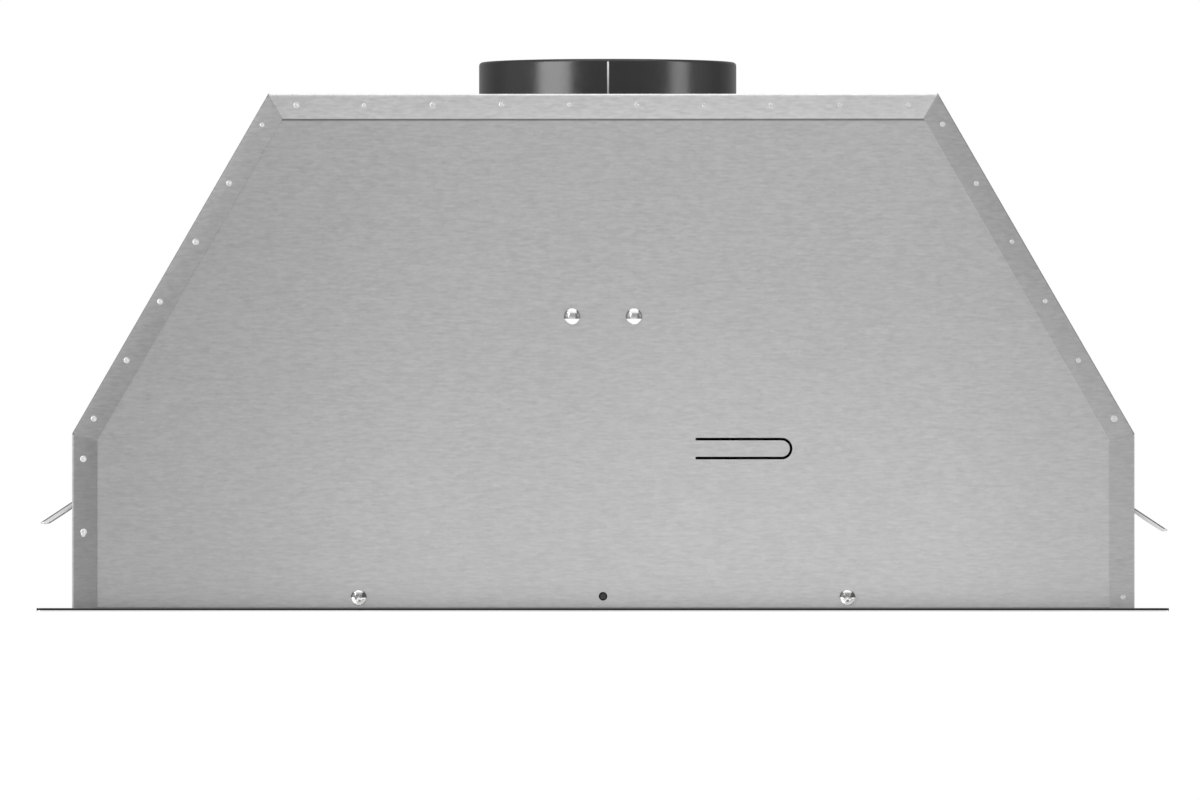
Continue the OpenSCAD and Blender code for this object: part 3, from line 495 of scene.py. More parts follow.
def painted_panel_shade(zinc):
    """Painted shadow under the top lip and above the trim, and painted light along the slopes' lips."""
    from_side, from_slope, from_top = edge_distances(zinc)
    under_top = 1 - from_top.rise(LIP_W + 0.8 * MM, LIP_W + 2.3 * MM)
    painted_light_by_slope = 1 - from_slope.rise(LIP_W + 0.1 * MM, LIP_W + 1.1 * MM)
    at_foot = 1 - zinc.axis("Z").rise(3 * MM, 4.2 * MM)
    return (1 - 0.55 * under_top) * (1 + 0.16 * painted_light_by_slope) * (1 - 0.52 * at_foot)


sheet_zinc = galvanised("galvanised_sheet")
panel_zinc = galvanised("galvanised_panel", panel=True)
lip_zinc = galvanised("galvanised_canopy", lips=True)
print("galvanised nodes:", len(lip_zinc.node_tree.nodes))

# %% [markdown]
# ### Bare edges, weld spots and bright steel
#
# Where sheet is cut, the zinc ends and bright steel shows. A thin band of a lighter
# metal on the rounded edge is what makes a slot or a hole read as cut. Screws and
# pins are plated and smoother, so they mirror the lights as small hard highlights.


# %% Steel finishes
# Each row: colour; metallic and roughness; waves per metre, detail and its strength;
# tone and dullness as a level and a swing; height in mm and strength of the relief.
steels = {
    "bare_edge": ((0.86, 0.86, 0.86), (1.0, 0.3), ((900, 900, 900), 2, 0.6),
                  (0.85, 0.25), (0.2, 0.25)),
    "weld_spot": ((0.60, 0.60, 0.60), (1.0, 0.40), ((640, 640, 640), 3, 0.7),
                  (0.62, 0.75), (0.28, 0.24), (0.12, 0.6)),
    "screw_zinc": ((0.83, 0.83, 0.82), (1.0, 0.14), ((700, 700, 700), 3, 0.6),
                   (0.9, 0.2), (0.08, 0.16), (0.02, 0.5)),
    "bright_steel": ((0.72, 0.72, 0.73), (1.0, 0.22), ((900, 60, 900), 2, 0.5),
                     (0.88, 0.24), (0.16, 0.16)),
    "spring_steel": ((0.74, 0.74, 0.74), (0.5, 0.4), ((60, 700, 60), 3, 0.6),
                     (0.85, 0.3), (0.2, 0.2), (0.03, 0.4)),
    # A dark steel painted on the clip's bend as painted shade.
    "blued_edge": ((0.15, 0.15, 0.155), (1.0, 0.34), ((500, 60, 500), 3, 0.6),
                   (0.7, 0.6), (0.26, 0.2)),
}
steel = {name: one_pattern(name, *row) for name, row in steels.items()}
print("steel finishes:", ", ".join(steel))

# %% [markdown]
# ### Brushed stainless
#
# The tray, the trim and the filters are stainless sheet brushed with an abrasive
# belt. The belt leaves long parallel scratches of uneven depth. Noise that is
# stretched a hundred times along one axis gives them; the same noise also drives
# the roughness, because a deeper scratch scatters more light.


# %% Stainless finish
def brushed_stainless(name, along, tint=(0.66, 0.66, 0.655)):
    """Stainless sheet, brushed along one axis: 0 is X and 1 is Y."""
    sheet = Finish(name, tint, 1.0, 0.27)
    fine, broad = [1500] * 3, [160] * 3
    fine[along], broad[along] = 9, 3
    scratches = sheet.noise(fine, 2, 0.6)
    bands = sheet.noise(broad, 2, 0.5)
    sheet.tone(0.80 + 0.26 * scratches + 0.14 * bands)
    sheet.feed("Roughness", 0.16 + 0.18 * scratches + 0.06 * bands)
    sheet.relief(scratches, 0.02 * MM, 0.4)
    return sheet


def trim_stainless():
    """The tray's stainless, with painted shade along the upper half of the trim's edge and a painted
    reflection of the floor below it.
    """
    sheet = brushed_stainless("brushed_tray", 0)
    scratches = sheet.noise((9, 1500, 1500), 2, 0.6)
    corner = cad_box[1]
    outside, beyond = (abs(sheet.axis(letter)).rise(reach - 2.5 * MM, reach - 1.5 * MM)
                       for letter, reach in (("Y", corner.y), ("X", corner.x)))
    edge = (outside + beyond).rise(0, 1)
    upper = sheet.axis("Z").rise(1.1 * MM, 1.3 * MM)
    painted_top_light = sheet.axis("Z").rise(2.2 * MM, 2.9 * MM)
    # Painted shade darkens the upper half of the edge and a painted reflection of the floor lightens
    # its lower half.
    sheet.tone((0.80 + 0.40 * scratches) * (1 + edge * (0.38 - 1.34 * upper + 0.17 * painted_top_light)))
    return sheet.material


tray_steel = trim_stainless()
print("tray and trim:", tray_steel.name)

# %% [markdown]
# ### Paint, plastic and glass
#
# The collar is black enamel: nearly no colour of its own, a smooth coat, and a
# slight orange-peel. Moulded plastic is the opposite, dull with a fine even grain.
# The lamp's lens is frosted so that the light source behind it can't be seen.


# %% Dark and plastic finishes
def collar_black():
    enamel = Finish("collar_black", (0.007, 0.007, 0.008), 0.0, 0.2, **{"Specular IOR Level": 0.5})
    peel = enamel.noise((240, 240, 160), 2, 0.5)
    drawn = enamel.noise((60, 60, 4), 2, 0.5)
    enamel.tone(0.75 + 0.5 * peel)
    enamel.feed("Roughness", 0.15 + 0.10 * peel + 0.06 * drawn)
    enamel.relief(peel, 0.02 * MM, 0.3)
    return enamel.material


def moulded(name, colour, roughness, grain=1400):
    """Injection-moulded plastic with a spark-eroded grain."""
    plastic = Finish(name, colour, 0.0, roughness)
    pits = plastic.noise((grain, grain, grain), 2, 0.6)
    flow = plastic.noise((12, 12, 12), 2, 0.5)
    plastic.tone(0.92 + 0.1 * pits + 0.06 * flow)
    plastic.feed("Roughness", roughness - 0.06 + 0.12 * pits)
    plastic.relief(pits, 0.05 * MM, 0.35)
    return plastic.material


smooth_parts = {
    "flap_metal": ((0.52, 0.52, 0.53), (1.0, 0.4), ((500, 14, 500), 3, 0.6),
                   (0.85, 0.3), (0.32, 0.2), (0.03, 0.4)),
    "motor_black": ((0.03, 0.03, 0.032), (0.35, 0.42), ((300, 300, 300), 4, 0.65),
                    (0.8, 0.6), (0.34, 0.2), (0.1, 0.4)),
    "heat_sink": ((0.09, 0.09, 0.095), (0.8, 0.45), ((120, 120, 1600), 2, 0.5),
                  (0.85, 0.3), (0.38, 0.15), (0.03, 0.4)),
    "lamp_trim": ((0.74, 0.74, 0.745), (1.0, 0.24), ((420, 420, 60), 3, 0.6),
                  (0.9, 0.2), (0.18, 0.14)),
    "button_metal": ((0.70, 0.70, 0.70), (1.0, 0.26), ((500, 500, 40), 3, 0.6),
                     (0.88, 0.24), (0.2, 0.16)),
}
finish_of = {name: one_pattern(name, *row) for name, row in smooth_parts.items()}
frosting = {"Coat Weight": 0.3, "Coat Roughness": 0.2}
finish_of["lamp_glass"] = one_pattern(
    "lamp_glass", (0.84, 0.845, 0.84), (0.0, 0.32), ((1600, 1600, 1600), 2, 0.6),
    (0.94, 0.1), (0.28, 0.14), (0.03, 0.3), **frosting)
print("smooth finishes:", ", ".join(finish_of))

# %% One finish for each slot of the record
finish_of.update({
    "galvanised": sheet_zinc,
    "stainless": brushed_stainless("brushed_stainless", 1).material,
    "collar_black": collar_black(),
    "ring_plastic": moulded("ring_plastic", (0.72, 0.72, 0.70), 0.4),
    "plate_black": moulded("plate_black", (0.02, 0.02, 0.021), 0.42),
    **{name: steel[name] for name in ("bright_steel", "spring_steel", "screw_zinc")},
})
slot_of = {part["node"]: part["material_slot"] for part in frame["record"]["subparts"]}
bodies = frame["record"]["behaviour"]["bodies"]
body_of = {node: body for body, nodes in bodies.items() for node in nodes}
for node, part in frame["nodes"].items():
    part.data.materials.clear()
    part.data.materials.append(finish_of[slot_of[node]])
print("finishes:", len(finish_of), "for", len(slot_of), "CAD parts")

# %% [markdown]
# ## From mesh to piece
#
# Each new piece stands for one or more CAD parts: it hides them, rides on the same
# body and takes its finish from the first one's slot unless it is given finishes. One
# function does that for all of them.
# Another one rounds the edges of a CAD part that already has the right shape. No
# real edge is perfectly sharp, and it is the thin highlight along an edge that
# tells the eye so.


# %% Piece helpers
def middle_of(node):
    """The centre of a CAD part's box."""
    low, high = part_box(node)
    return (low + high) / 2


def add_piece(name, mesh, *stands_for, finishes=None, body=None):
    """Puts a mesh in the scene in place of the CAD parts that it stands for."""
    first = stands_for[0] if stands_for else None
    wanted = finishes or [finish_of[slot_of[first]]]
    for finish in wanted[len(mesh.materials):]:
        mesh.materials.append(finish)
    piece = put(name, mesh)
    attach(piece, body or body_of[first])
    if stands_for:
        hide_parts(*stands_for)
    return piece


def finished_mesh(mesh, name, *modifiers):
    """The mesh with modifiers applied: each is a type and its settings."""
    draft = put(name, mesh)
    for kind, settings in modifiers:
        step = draft.modifiers.new(kind, kind)
        for setting, value in settings.items():
            setattr(step, setting, value)
    seen_mesh = draft.evaluated_get(bpy.context.evaluated_depsgraph_get())
    result = bpy.data.meshes.new_from_object(seen_mesh)
    bpy.data.objects.remove(draft)
    result.name = name
    return result


print("CAD parts that a piece can stand for:", len(body_of))


# %% Rounded edges
SHARP = 38
LOOSE = 0.002 * MM


def smooth(mesh, degrees=40):
    """Round faces shade smoothly, and edges sharper than degrees stay crisp."""
    mesh.shade_smooth()
    mesh.set_sharp_from_angle(angle=math.radians(degrees))
    return mesh


def rounding(width, steps=2, material=-1):
    """A Bevel on every sharp edge."""
    return ("BEVEL", {
        "width": width, "segments": steps, "limit_method": "ANGLE",
        "angle_limit": math.radians(SHARP), "material": material, "harden_normals": True,
    })


def as_mesh(bm, name, outwards=True):
    """Keeps a bmesh as a mesh, its faces turned outwards unless they are so already."""
    if outwards:
        bmesh.ops.recalc_face_normals(bm, faces=bm.faces)
    mesh = bpy.data.meshes.new(name)
    bm.to_mesh(mesh)
    bm.free()
    return mesh


def merged_copy(node):
    """A CAD part's mesh with its loose triangles joined and its flats made whole."""
    bm = bmesh.new()
    bm.from_mesh(frame["nodes"][node].data)
    bmesh.ops.remove_doubles(bm, verts=bm.verts, dist=LOOSE)
    bmesh.ops.dissolve_limit(bm, angle_limit=math.radians(0.5), verts=bm.verts, edges=bm.edges)
    return as_mesh(bm, node, outwards=False)


def soften(node, width, steps=2, finishes=None):
    """A piece with the CAD part's own shape and rounded edges."""
    edge = 1 if finishes and len(finishes) > 1 else -1
    mesh = merged_copy(node)
    mesh.materials.clear()
    for finish in finishes or [finish_of[slot_of[node]]]:
        mesh.materials.append(finish)
    result = finished_mesh(smooth(mesh, SHARP), f"{node}_finished", rounding(width, steps, edge))
    return add_piece(f"{node}_finished", result, node, finishes=finishes)


print("edges sharper than", SHARP, "degrees get rounded")

# %% [markdown]
# ## The canopy
#
# The real canopy is one strip of sheet. It is folded four times into the shape of a
# house without a floor, and its front and rear edges are folded in as lips that the
# face panels are welded to. A box with rounded edges would miss the folds, so the
# sheet is drawn as it is bent: an outline of stations, each with the direction that
# points inwards, carried from the front lip over the fold to the rear lip. Solidify
# then gives the skin its thickness.


# %% Outline of the fold
def canopy_corners(inset):
    """The right shoulder and the right top corner, moved in from the outside."""
    c, s = math.cos(SLOPE), math.sin(SLOPE)
    shoulder = Vector((half_w - inset, SHOULDER_Z - inset * (1 - s) / c))
    peak = Vector((half_w - (inset + (top_z - inset - SHOULDER_Z) * c) / s, top_z - inset))
    return shoulder, peak


def outline_corners(inset, base):
    """The whole outline from the right foot round to the left foot."""
    shoulder, peak = canopy_corners(inset)
    right = [Vector((half_w - inset, base)), shoulder, peak]
    return right + [Vector((-p.x, p.y)) for p in reversed(right)]


def inward(a, b):
    """Unit vector to the left of the way from a to b, which is into the canopy."""
    way = (b - a).normalized()
    return Vector((-way.y, way.x))


print("shoulder and top corner in mm:", [[round(c / MM, 1) for c in p] for p in canopy_corners(0)])


# %% Stations round the outline
BEND = 2.5 * MM
ARC_STEPS = 5
CLIP_ROOT_Z = {"right": 80.2 * MM, "left": 85.8 * MM}
WINDOW_H, WINDOW_RISE = 34 * MM, 1.5 * MM


def window_heights(run):
    """Lower and upper edge of the clip's window in the upright side of a run."""
    top = CLIP_ROOT_Z["right" if run == 0 else "left"] + WINDOW_RISE
    return top - WINDOW_H, top


def canopy_stations():
    """Places along the outline: (point, inward direction, straight run or None)."""
    corners = outline_corners(0, base_z)
    stations = []
    for run in range(5):
        a, b = corners[run], corners[run + 1]
        way, n = (b - a).normalized(), inward(a, b)
        start = a if run == 0 else a + way * tangent_length(corners, run)
        end = b if run == 4 else b - way * tangent_length(corners, run + 1)
        stations.append((start, n, run))
        if run in (0, 4):
            edges = window_heights(run) if run == 0 else reversed(window_heights(run))
            stations += [(Vector((start.x, z)), n, run) for z in edges]
        stations.append((end, n, run))
        if run < 4:
            next_n = inward(b, corners[run + 2])
            centre = end + n * BEND
            for k in range(1, ARC_STEPS):
                turned = n.slerp(next_n, k / ARC_STEPS)
                stations.append((centre - turned * BEND, turned, None))
    return stations


def tangent_length(corners, i):
    """How far before its corner a bend begins."""
    a, b = corners[i] - corners[i - 1], corners[i + 1] - corners[i]
    return BEND * math.tan(a.angle(b) / 2)


stations = canopy_stations()
print("stations round the canopy:", len(stations))

# %% [markdown]
# The skin is a grid: one column for each station, one row for each place from front
# to rear. The rows of a fold turn a quarter circle. A lip grows only from a straight
# run, and its ends are cut on the mitre, where the neighbouring lips would meet.


# %% Rows and lip ends
FOLD_STEPS = 4
WINDOW_SIDE = 2 * MM
MITRE = 0.04 * MM


def canopy_rows():
    """Places across the sheet as (distance from the face plane, distance inwards)."""
    turns = [math.pi / 2 * k / FOLD_STEPS for k in range(FOLD_STEPS + 1)]
    fold = [(FOLD * (1 - math.sin(a)), FOLD * (1 - math.cos(a))) for a in reversed(turns)]
    front = [(-half_d + away, inset) for away, inset in fold]
    rear = [(half_d - away, inset) for away, inset in reversed(fold)]
    low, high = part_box("side_clip_right")
    return front + [(low.y - WINDOW_SIDE, 0), (high.y + WINDOW_SIDE, 0)] + rear


def lip_end(point, n, run, i, ends):
    """Where a lip's inner edge lies below a station, with its mitre cut back."""
    corners = outline_corners(LIP_W, base_z)
    way = (corners[run + 1] - corners[run]).normalized()
    if i == ends[0] and run > 0:
        return corners[run] + way * MITRE
    if i == ends[1] and run < 4:
        return corners[run + 1] - way * MITRE
    return point + n * LIP_W


print("rows from the front fold to the rear fold:", len(canopy_rows()))


# %% Skin of the canopy
def canopy_skin():
    """The sheet without its thickness, with the clips' windows left open."""
    bm = bmesh.new()
    rows = canopy_rows()
    grid = []
    for point, n, run in stations:
        places = [(point + n * inset, y) for y, inset in rows]
        grid.append([bm.verts.new((p.x, y, p.y)) for p, y in places])
    window_row = FOLD_STEPS + 1
    for i in range(len(stations) - 1):
        heights = sorted((stations[i][0].y, stations[i + 1][0].y))
        run = stations[i][2]
        upright = run in (0, 4) and stations[i + 1][2] == run
        at_window = upright and all(abs(a - b) < MM for a, b in zip(heights, window_heights(run)))
        for row in range(len(rows) - 1):
            if not (at_window and row == window_row):
                bm.faces.new((grid[i][row], grid[i][row + 1], grid[i + 1][row + 1], grid[i + 1][row]))
    for face_row, y in ((0, -half_d), (-1, half_d)):
        add_lips(bm, grid, face_row, y)
    return bm


def add_lips(bm, grid, row, y):
    """One lip for each straight run, from the fold's last row to its inner edge."""
    for run in range(5):
        members = [i for i, station in enumerate(stations) if station[2] == run]
        ends = (members[0], members[-1])
        inner = {}
        for i in members:
            place = lip_end(stations[i][0], stations[i][1], run, i, ends)
            inner[i] = bm.verts.new((place.x, y, place.y))
        for i, k in zip(members, members[1:]):
            bm.faces.new((grid[i][row], grid[k][row], inner[k], inner[i]))


skin = canopy_skin()
print("canopy skin:", len(skin.faces), "faces before it gets its thickness")


# %% [markdown]
# At the two top corners the lip of the slope was cut a touch too long, and its tip
# stands proud of the top as a small point. Such marks of the maker are worth
# keeping. Holes are cut last, with cutters that pass right through the sheet: the
# outlet below the collar, and the ring that marks a knock-out for the cable.


# %% Tips of the slopes' lips
TIP_RISE, TIP_LEN, TIP_PROUD = 1.2 * MM, 2.6 * MM, 0.03 * MM


def add_lip_tips(bm):
    """The small points where a slope's lip stands above the top fold."""
    peak = canopy_corners(0)[1]
    inside = canopy_corners(LIP_W - 0.3 * MM)[1]
    down = Vector((math.cos(SLOPE), -math.sin(SLOPE)))
    flat = [peak - down * TIP_RISE, inside, peak + down * TIP_LEN]
    for side in (-1, 1):
        for y, back in ((-half_d - TIP_PROUD, 1), (half_d + TIP_PROUD, -1)):
            ring = [bm.verts.new((side * p.x, y, p.y)) for p in flat]
            face = bm.faces.new(ring)
            face.normal_update()
            if face.normal.y * back > 0:
                face.normal_flip()


add_lip_tips(skin)
print("canopy skin with its tips:", len(skin.faces), "faces")

# %% Holes and thickness
OUTLET_R = 92.5 * MM
KNOCKOUT_X, KNOCKOUT_R, KNOCKOUT_CUT = -182 * MM, 11 * MM, 0.8 * MM
KNOCKOUT_TIE = math.asin(1.5 / 11)


def arc_wall(bm, centre, radii, angles, heights, steps=24):
    """A closed block between two radii, two angles and two heights."""
    rings = []
    for k in range(steps + 1):
        a = angles[0] + (angles[1] - angles[0]) * k / steps
        corners = [(radii[i], heights[j]) for i, j in ((0, 0), (1, 0), (1, 1), (0, 1))]
        rings.append([bm.verts.new((centre[0] + r * math.cos(a), centre[1] + r * math.sin(a), z))
                      for r, z in corners])
    for one, two in zip(rings, rings[1:]):
        for j in range(4):
            bm.faces.new((one[j], one[(j + 1) % 4], two[(j + 1) % 4], two[j]))
    bm.faces.new(rings[0])
    bm.faces.new(reversed(rings[-1]))


def cutter_object():
    """What is cut from the top: the outlet and two arcs round the knock-out."""
    bm = bmesh.new()
    through = Matrix.Translation((0, 0, top_z))
    bmesh.ops.create_cone(bm, cap_ends=True, segments=96, radius1=OUTLET_R, radius2=OUTLET_R,
                          depth=8 * MM, matrix=through)
    for half in (0, math.pi):
        arc_wall(bm, (KNOCKOUT_X, 0), (KNOCKOUT_R - KNOCKOUT_CUT, KNOCKOUT_R),
                 (half + KNOCKOUT_TIE, half + math.pi - KNOCKOUT_TIE),
                 (top_z - 2.5 * MM, top_z + 2 * MM))
    return put("cutter", as_mesh(bm, "cutter"))


def canopy_mesh():
    """The skin, thickened inwards and cut."""
    mesh = as_mesh(skin, "canopy_skin")
    cutter = cutter_object()
    thick = finished_mesh(
        smooth(mesh), "canopy_sheet",
        ("SOLIDIFY", {"thickness": SHEET, "offset": -1, "use_even_offset": True}),
        ("BOOLEAN", {"operation": "DIFFERENCE", "object": cutter, "solver": "EXACT"}),
    )
    bpy.data.objects.remove(cutter)
    return smooth(thick, 35)


canopy = add_piece("canopy_sheet", canopy_mesh(), "canopy_wrap", finishes=[lip_zinc])
print("canopy sheet:", len(canopy.data.polygons), "faces")

# %% [markdown]
# ## Face panels and tray
#
# The front panel is a laser-cut blank that lies behind the lips. Its slits and
# holes have bright edges, because a cut goes through the zinc. The tray is deep
# drawn and hemmed, so that all its edges are soft to the hand.

# %% Panels and tray
CUT_EDGE = 0.22 * MM
soften("front_panel", CUT_EDGE, finishes=[panel_zinc, steel["bare_edge"]])
soften("rear_panel", CUT_EDGE, finishes=[panel_zinc, steel["bare_edge"]])
soften("underside_tray", 0.35 * MM, finishes=[tray_steel])
print("cut edges are", CUT_EDGE / MM, "mm wide")

# %% [markdown]
# ## Sections and turned forms
#
# Most of what is left is either bent from strip or turned. A bent strip is a path
# with rounded corners that gets a thickness and is carried along one axis. A turned
# form is a profile that goes round the Z axis. Both start from the same short lists
# of corners in millimetres, each with its own radius.


# %% Sections
def rounded_path(corners, closed=False, steps=5):
    """A path in metres from corners (u, v, radius) in millimetres."""
    path = []
    for i, (u, v, radius) in enumerate(corners):
        here = Vector((u, v))
        if radius == 0 or (not closed and i in (0, len(corners) - 1)):
            path.append(here * MM)
            continue
        back = (Vector(corners[i - 1][:2]) - here).normalized()
        on = (Vector(corners[(i + 1) % len(corners)][:2]) - here).normalized()
        half = back.angle(on) / 2
        centre = here + (back + on).normalized() * radius / math.sin(half)
        start = (here + back * radius / math.tan(half) - centre).normalized()
        end = (here + on * radius / math.tan(half) - centre).normalized()
        path += [(centre + start.slerp(end, k / steps) * radius) * MM for k in range(steps + 1)]
    return path


def strip_section(path, thickness):
    """The outline of a strip whose middle follows the path."""
    sides = ([], [])
    for i, point in enumerate(path):
        way = (path[min(i + 1, len(path) - 1)] - path[max(i - 1, 0)]).normalized()
        off = Vector((-way.y, way.x)) * thickness / 2
        sides[0].append(point + off)
        sides[1].append(point - off)
    return sides[0] + sides[1][::-1]


def prism(name, section, low, high):
    """A section in X and Z carried along Y from low to high."""
    bm = bmesh.new()
    ends = [[bm.verts.new((p.x, y, p.y)) for p in section] for y in (low, high)]
    for i in range(len(section)):
        k = (i + 1) % len(section)
        bm.faces.new((ends[0][i], ends[0][k], ends[1][k], ends[1][i]))
    for end in ends:
        bm.faces.new(end)
    return as_mesh(bm, name)


print("a square bend takes", len(rounded_path([(0, 0, 0), (1, 0, 0.5), (1, 1, 0)])), "points")


# %% Turned forms
TO_X = Matrix.Rotation(math.pi / 2, 4, "Y")


def lathe(name, profile, segments=96, closed=True):
    """A profile of (radius, height) turned round the Z axis."""
    bm = bmesh.new()
    poles = {i: bm.verts.new((0, 0, p.y)) for i, p in enumerate(profile) if p.x < 1e-6}
    rings = []
    for k in range(segments):
        a = 2 * math.pi * k / segments
        turned = [(p.x * math.cos(a), p.x * math.sin(a), p.y) for p in profile]
        rings.append([poles[i] if i in poles else bm.verts.new(v) for i, v in enumerate(turned)])
    last = len(profile) if closed else len(profile) - 1
    for k in range(segments):
        here, there = rings[k], rings[(k + 1) % segments]
        for i in range(last):
            j = (i + 1) % len(profile)
            corners = list(dict.fromkeys((here[i], here[j], there[j], there[i])))
            if len(corners) > 2:
                bm.faces.new(corners)
    return as_mesh(bm, name)


def moved(mesh, *steps):
    """The mesh after matrices, applied from left to right."""
    for step in steps:
        mesh.transform(step)
    return mesh


def joined(name, *meshes):
    """Several meshes as one."""
    bm = bmesh.new()
    for mesh in meshes:
        bm.from_mesh(mesh)
    return as_mesh(bm, name, outwards=False)


def painted(mesh, index):
    """The mesh with all its faces in one of the piece's finishes."""
    for polygon in mesh.polygons:
        polygon.material_index = index
    return mesh


print("turned forms have", lathe.__defaults__[0], "sides unless told otherwise")

# %% [markdown]
# ## Duct collar and damper
#
# The duct slides over this collar and is clamped round it. It is rolled from black
# steel strip and closed by one upright seam, where the cut edge stays bare. The rim
# curls in a little, to lead the duct on. Two flaps inside fall shut by themselves
# when the blower stops and keep cold air out.

# %% Collar
SEAM_TURN = math.radians(1.1)
COLLAR_R, COLLAR_BORE, FLANGE_R = 100, 92.5, 112
FOOT_T, BOSS_H = 2, 6.6
foot, rim = top_z / MM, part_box("duct_collar")[1].z / MM
ledge = foot + FOOT_T
collar_section = rounded_path([
    (COLLAR_BORE, foot, 0), (FLANGE_R, foot, 0), (FLANGE_R, ledge, 0.9),
    (COLLAR_R, ledge, 1.6), (COLLAR_R, rim, 2.6), (96.9, rim, 0), (96.9, rim - 1.1, 0.4),
    (98.5, rim - 3.4, 1.5), (98.5, ledge, 0.5), (COLLAR_BORE, ledge, 0.4),
], closed=True)
boss_section = rounded_path([
    (-5, ledge - 0.1, 0), (5, ledge - 0.1, 0), (5, ledge + BOSS_H, 1.4), (-5, ledge + BOSS_H, 1.4),
], closed=True)
boss_ends = COLLAR_BORE * MM, 98.9 * MM
bosses = [prism("boss", boss_section, *span) for span in
          ((-boss_ends[1], -boss_ends[0]), boss_ends)]
seam_section = rounded_path([
    (-0.7, ledge + 0.5, 0), (0.7, ledge + 0.5, 0), (0.7, rim - 2.1, 0.5), (-0.7, rim - 2.1, 0.5),
], closed=True)
seam = moved(prism("seam", seam_section, -100.06 * MM, -99.4 * MM), Matrix.Rotation(SEAM_TURN, 4, "Z"))
collar_mesh = joined("collar_turned", lathe("collar", collar_section, 192), *bosses, painted(seam, 1))


def seam_edge():
    """The bare cut edge of the collar, with a painted highlight that grows towards its top."""
    edge = Finish("seam_edge", (0.6, 0.6, 0.6), 1.0, 0.35)
    height = edge.axis("Z").rise(top_z, top_z + 30 * MM)
    edge.tone(0.55 + 0.75 * height + 0.2 * edge.noise((900, 900, 300), 2, 0.6))
    return edge.material


add_piece("collar_turned", smooth(collar_mesh), "duct_collar",
          finishes=[finish_of["collar_black"], seam_edge()])
for flap in ("damper_flap_left", "damper_flap_right"):
    soften(flap, 0.2 * MM)
print("collar from", round(foot, 1), "to", round(rim, 1), "mm")

# %% [markdown]
# ## Growing what repeats
#
# Screws, welds, vanes and blades each repeat one form many times. A Geometry Nodes
# tree does that: it puts instances of the form on points, makes them real and sets
# their finish. The tree is run once for each piece and its result kept as a mesh.


# %% A grower
class Grower(Bench):
    """A Geometry Nodes tree with named inputs that copies a form onto points."""

    def __init__(self, name, **sockets):
        super().__init__(bpy.data.node_groups.new(name, "GeometryNodeTree"))
        face = self.tree.interface
        face.new_socket("Geometry", in_out="OUTPUT", socket_type="NodeSocketGeometry")
        self.keys = {}
        for socket, kind in {**sockets, "Form": "Object", "Finish": "Material"}.items():
            made = face.new_socket(socket, in_out="INPUT", socket_type=f"NodeSocket{kind}")
            self.keys[socket] = made.identifier
        self.entry = self.tree.nodes.new("NodeGroupInput")

    def given(self, name):
        return Value(self, self.entry.outputs[name])

    def copies(self, points, rotation, scale):
        """Instances on the points, made real, with the finish set."""
        source = {"transform_space": "ORIGINAL"}
        form = self.node("GeometryNodeObjectInfo", source, {"Object": self.given("Form")}, "Geometry")
        placed = {"Points": points, "Instance": form, "Rotation": rotation, "Scale": scale}
        spread = self.node("GeometryNodeInstanceOnPoints", inputs=placed)
        real = self.node("GeometryNodeRealizeInstances", inputs={"Geometry": spread})
        finished = {"Geometry": real, "Material": self.given("Finish")}
        result = self.node("GeometryNodeSetMaterial", inputs=finished)
        exit_node = self.tree.nodes.new("NodeGroupOutput")
        self.tree.links.new(result.socket, exit_node.inputs["Geometry"])

    def grow(self, name, form, start=None, **values):
        """Runs the tree on a start mesh and returns what it makes as a plain mesh."""
        model = put(f"{name}_form", form)
        draft = put(f"{name}_draft", start or bpy.data.meshes.new(name))
        step = draft.modifiers.new("grow", "NODES")
        step.node_group = self.tree
        for socket, value in {**values, "Form": model}.items():
            step[self.keys[socket]] = value
        evaluated = draft.evaluated_get(bpy.context.evaluated_depsgraph_get())
        result = bpy.data.meshes.new_from_object(evaluated)
        for item in (model, draft):
            bpy.data.objects.remove(item)
        result.name = name
        return result


print("a grower knows", [name for name in vars(Grower) if not name.startswith("__")])


# %% Rows, rings and scattered copies
def row_grower():
    """Copies in a straight row along X, centred on the origin."""
    row = Grower("row", Count="Int", Pitch="Float")
    pitch = row.given("Pitch")
    first = row.node("ShaderNodeCombineXYZ", inputs={"X": (1 - row.given("Count")) * pitch / 2})
    offset = row.node("ShaderNodeCombineXYZ", inputs={"X": pitch})
    line = {"Count": row.given("Count"), "Start Location": first, "Offset": offset}
    points = row.node("GeometryNodeMeshLine", {"mode": "OFFSET"}, line)
    row.copies(points, (0, 0, 0), (1, 1, 1))
    return row


def ring_grower():
    """Copies turned round the X axis, each one its share of a full turn further."""
    ring = Grower("ring", Count="Int")
    points = ring.node("GeometryNodeMeshLine", {"mode": "OFFSET"}, {
        "Count": ring.given("Count"), "Offset": (0, 0, 0)})
    turn = ring.node("GeometryNodeInputIndex") * (2 * math.pi) / ring.given("Count")
    around = {"Axis": (1, 0, 0), "Angle": turn}
    ring.copies(points, ring.node("FunctionNodeAxisAngleToRotation", inputs=around), (1, 1, 1))
    return ring


def scatter_grower():
    """Copies on given points, each facing its own way, turned and sized by chance."""
    scatter = Grower("scatter", Points="Geometry", Seed="Int", Turn="Float", Vary="Float")
    vectors = {"data_type": "FLOAT_VECTOR"}
    facing = scatter.node("GeometryNodeInputNamedAttribute", vectors, {"Name": "facing"})
    aimed = scatter.node("FunctionNodeAlignRotationToVector", {"axis": "Z"}, {"Vector": facing})
    chance = {"data_type": "FLOAT"}
    seed, vary = scatter.given("Seed"), scatter.given("Vary")
    turns = {2: 0, 3: scatter.given("Turn"), "Seed": seed}
    sizes = {2: 1 - vary, 3: 1 + vary, "Seed": seed + 1}
    spin = scatter.node("FunctionNodeRandomValue", chance, turns, 1)
    size = scatter.node("FunctionNodeRandomValue", chance, sizes, 1)
    twist = scatter.node("FunctionNodeAxisAngleToRotation", inputs={"Axis": (0, 0, 1), "Angle": spin})
    both = {"Rotation": aimed, "Rotate By": twist}
    rotation = scatter.node("FunctionNodeRotateRotation", {"rotation_space": "LOCAL"}, both)
    scatter.copies(scatter.given("Points"), rotation, size)
    return scatter


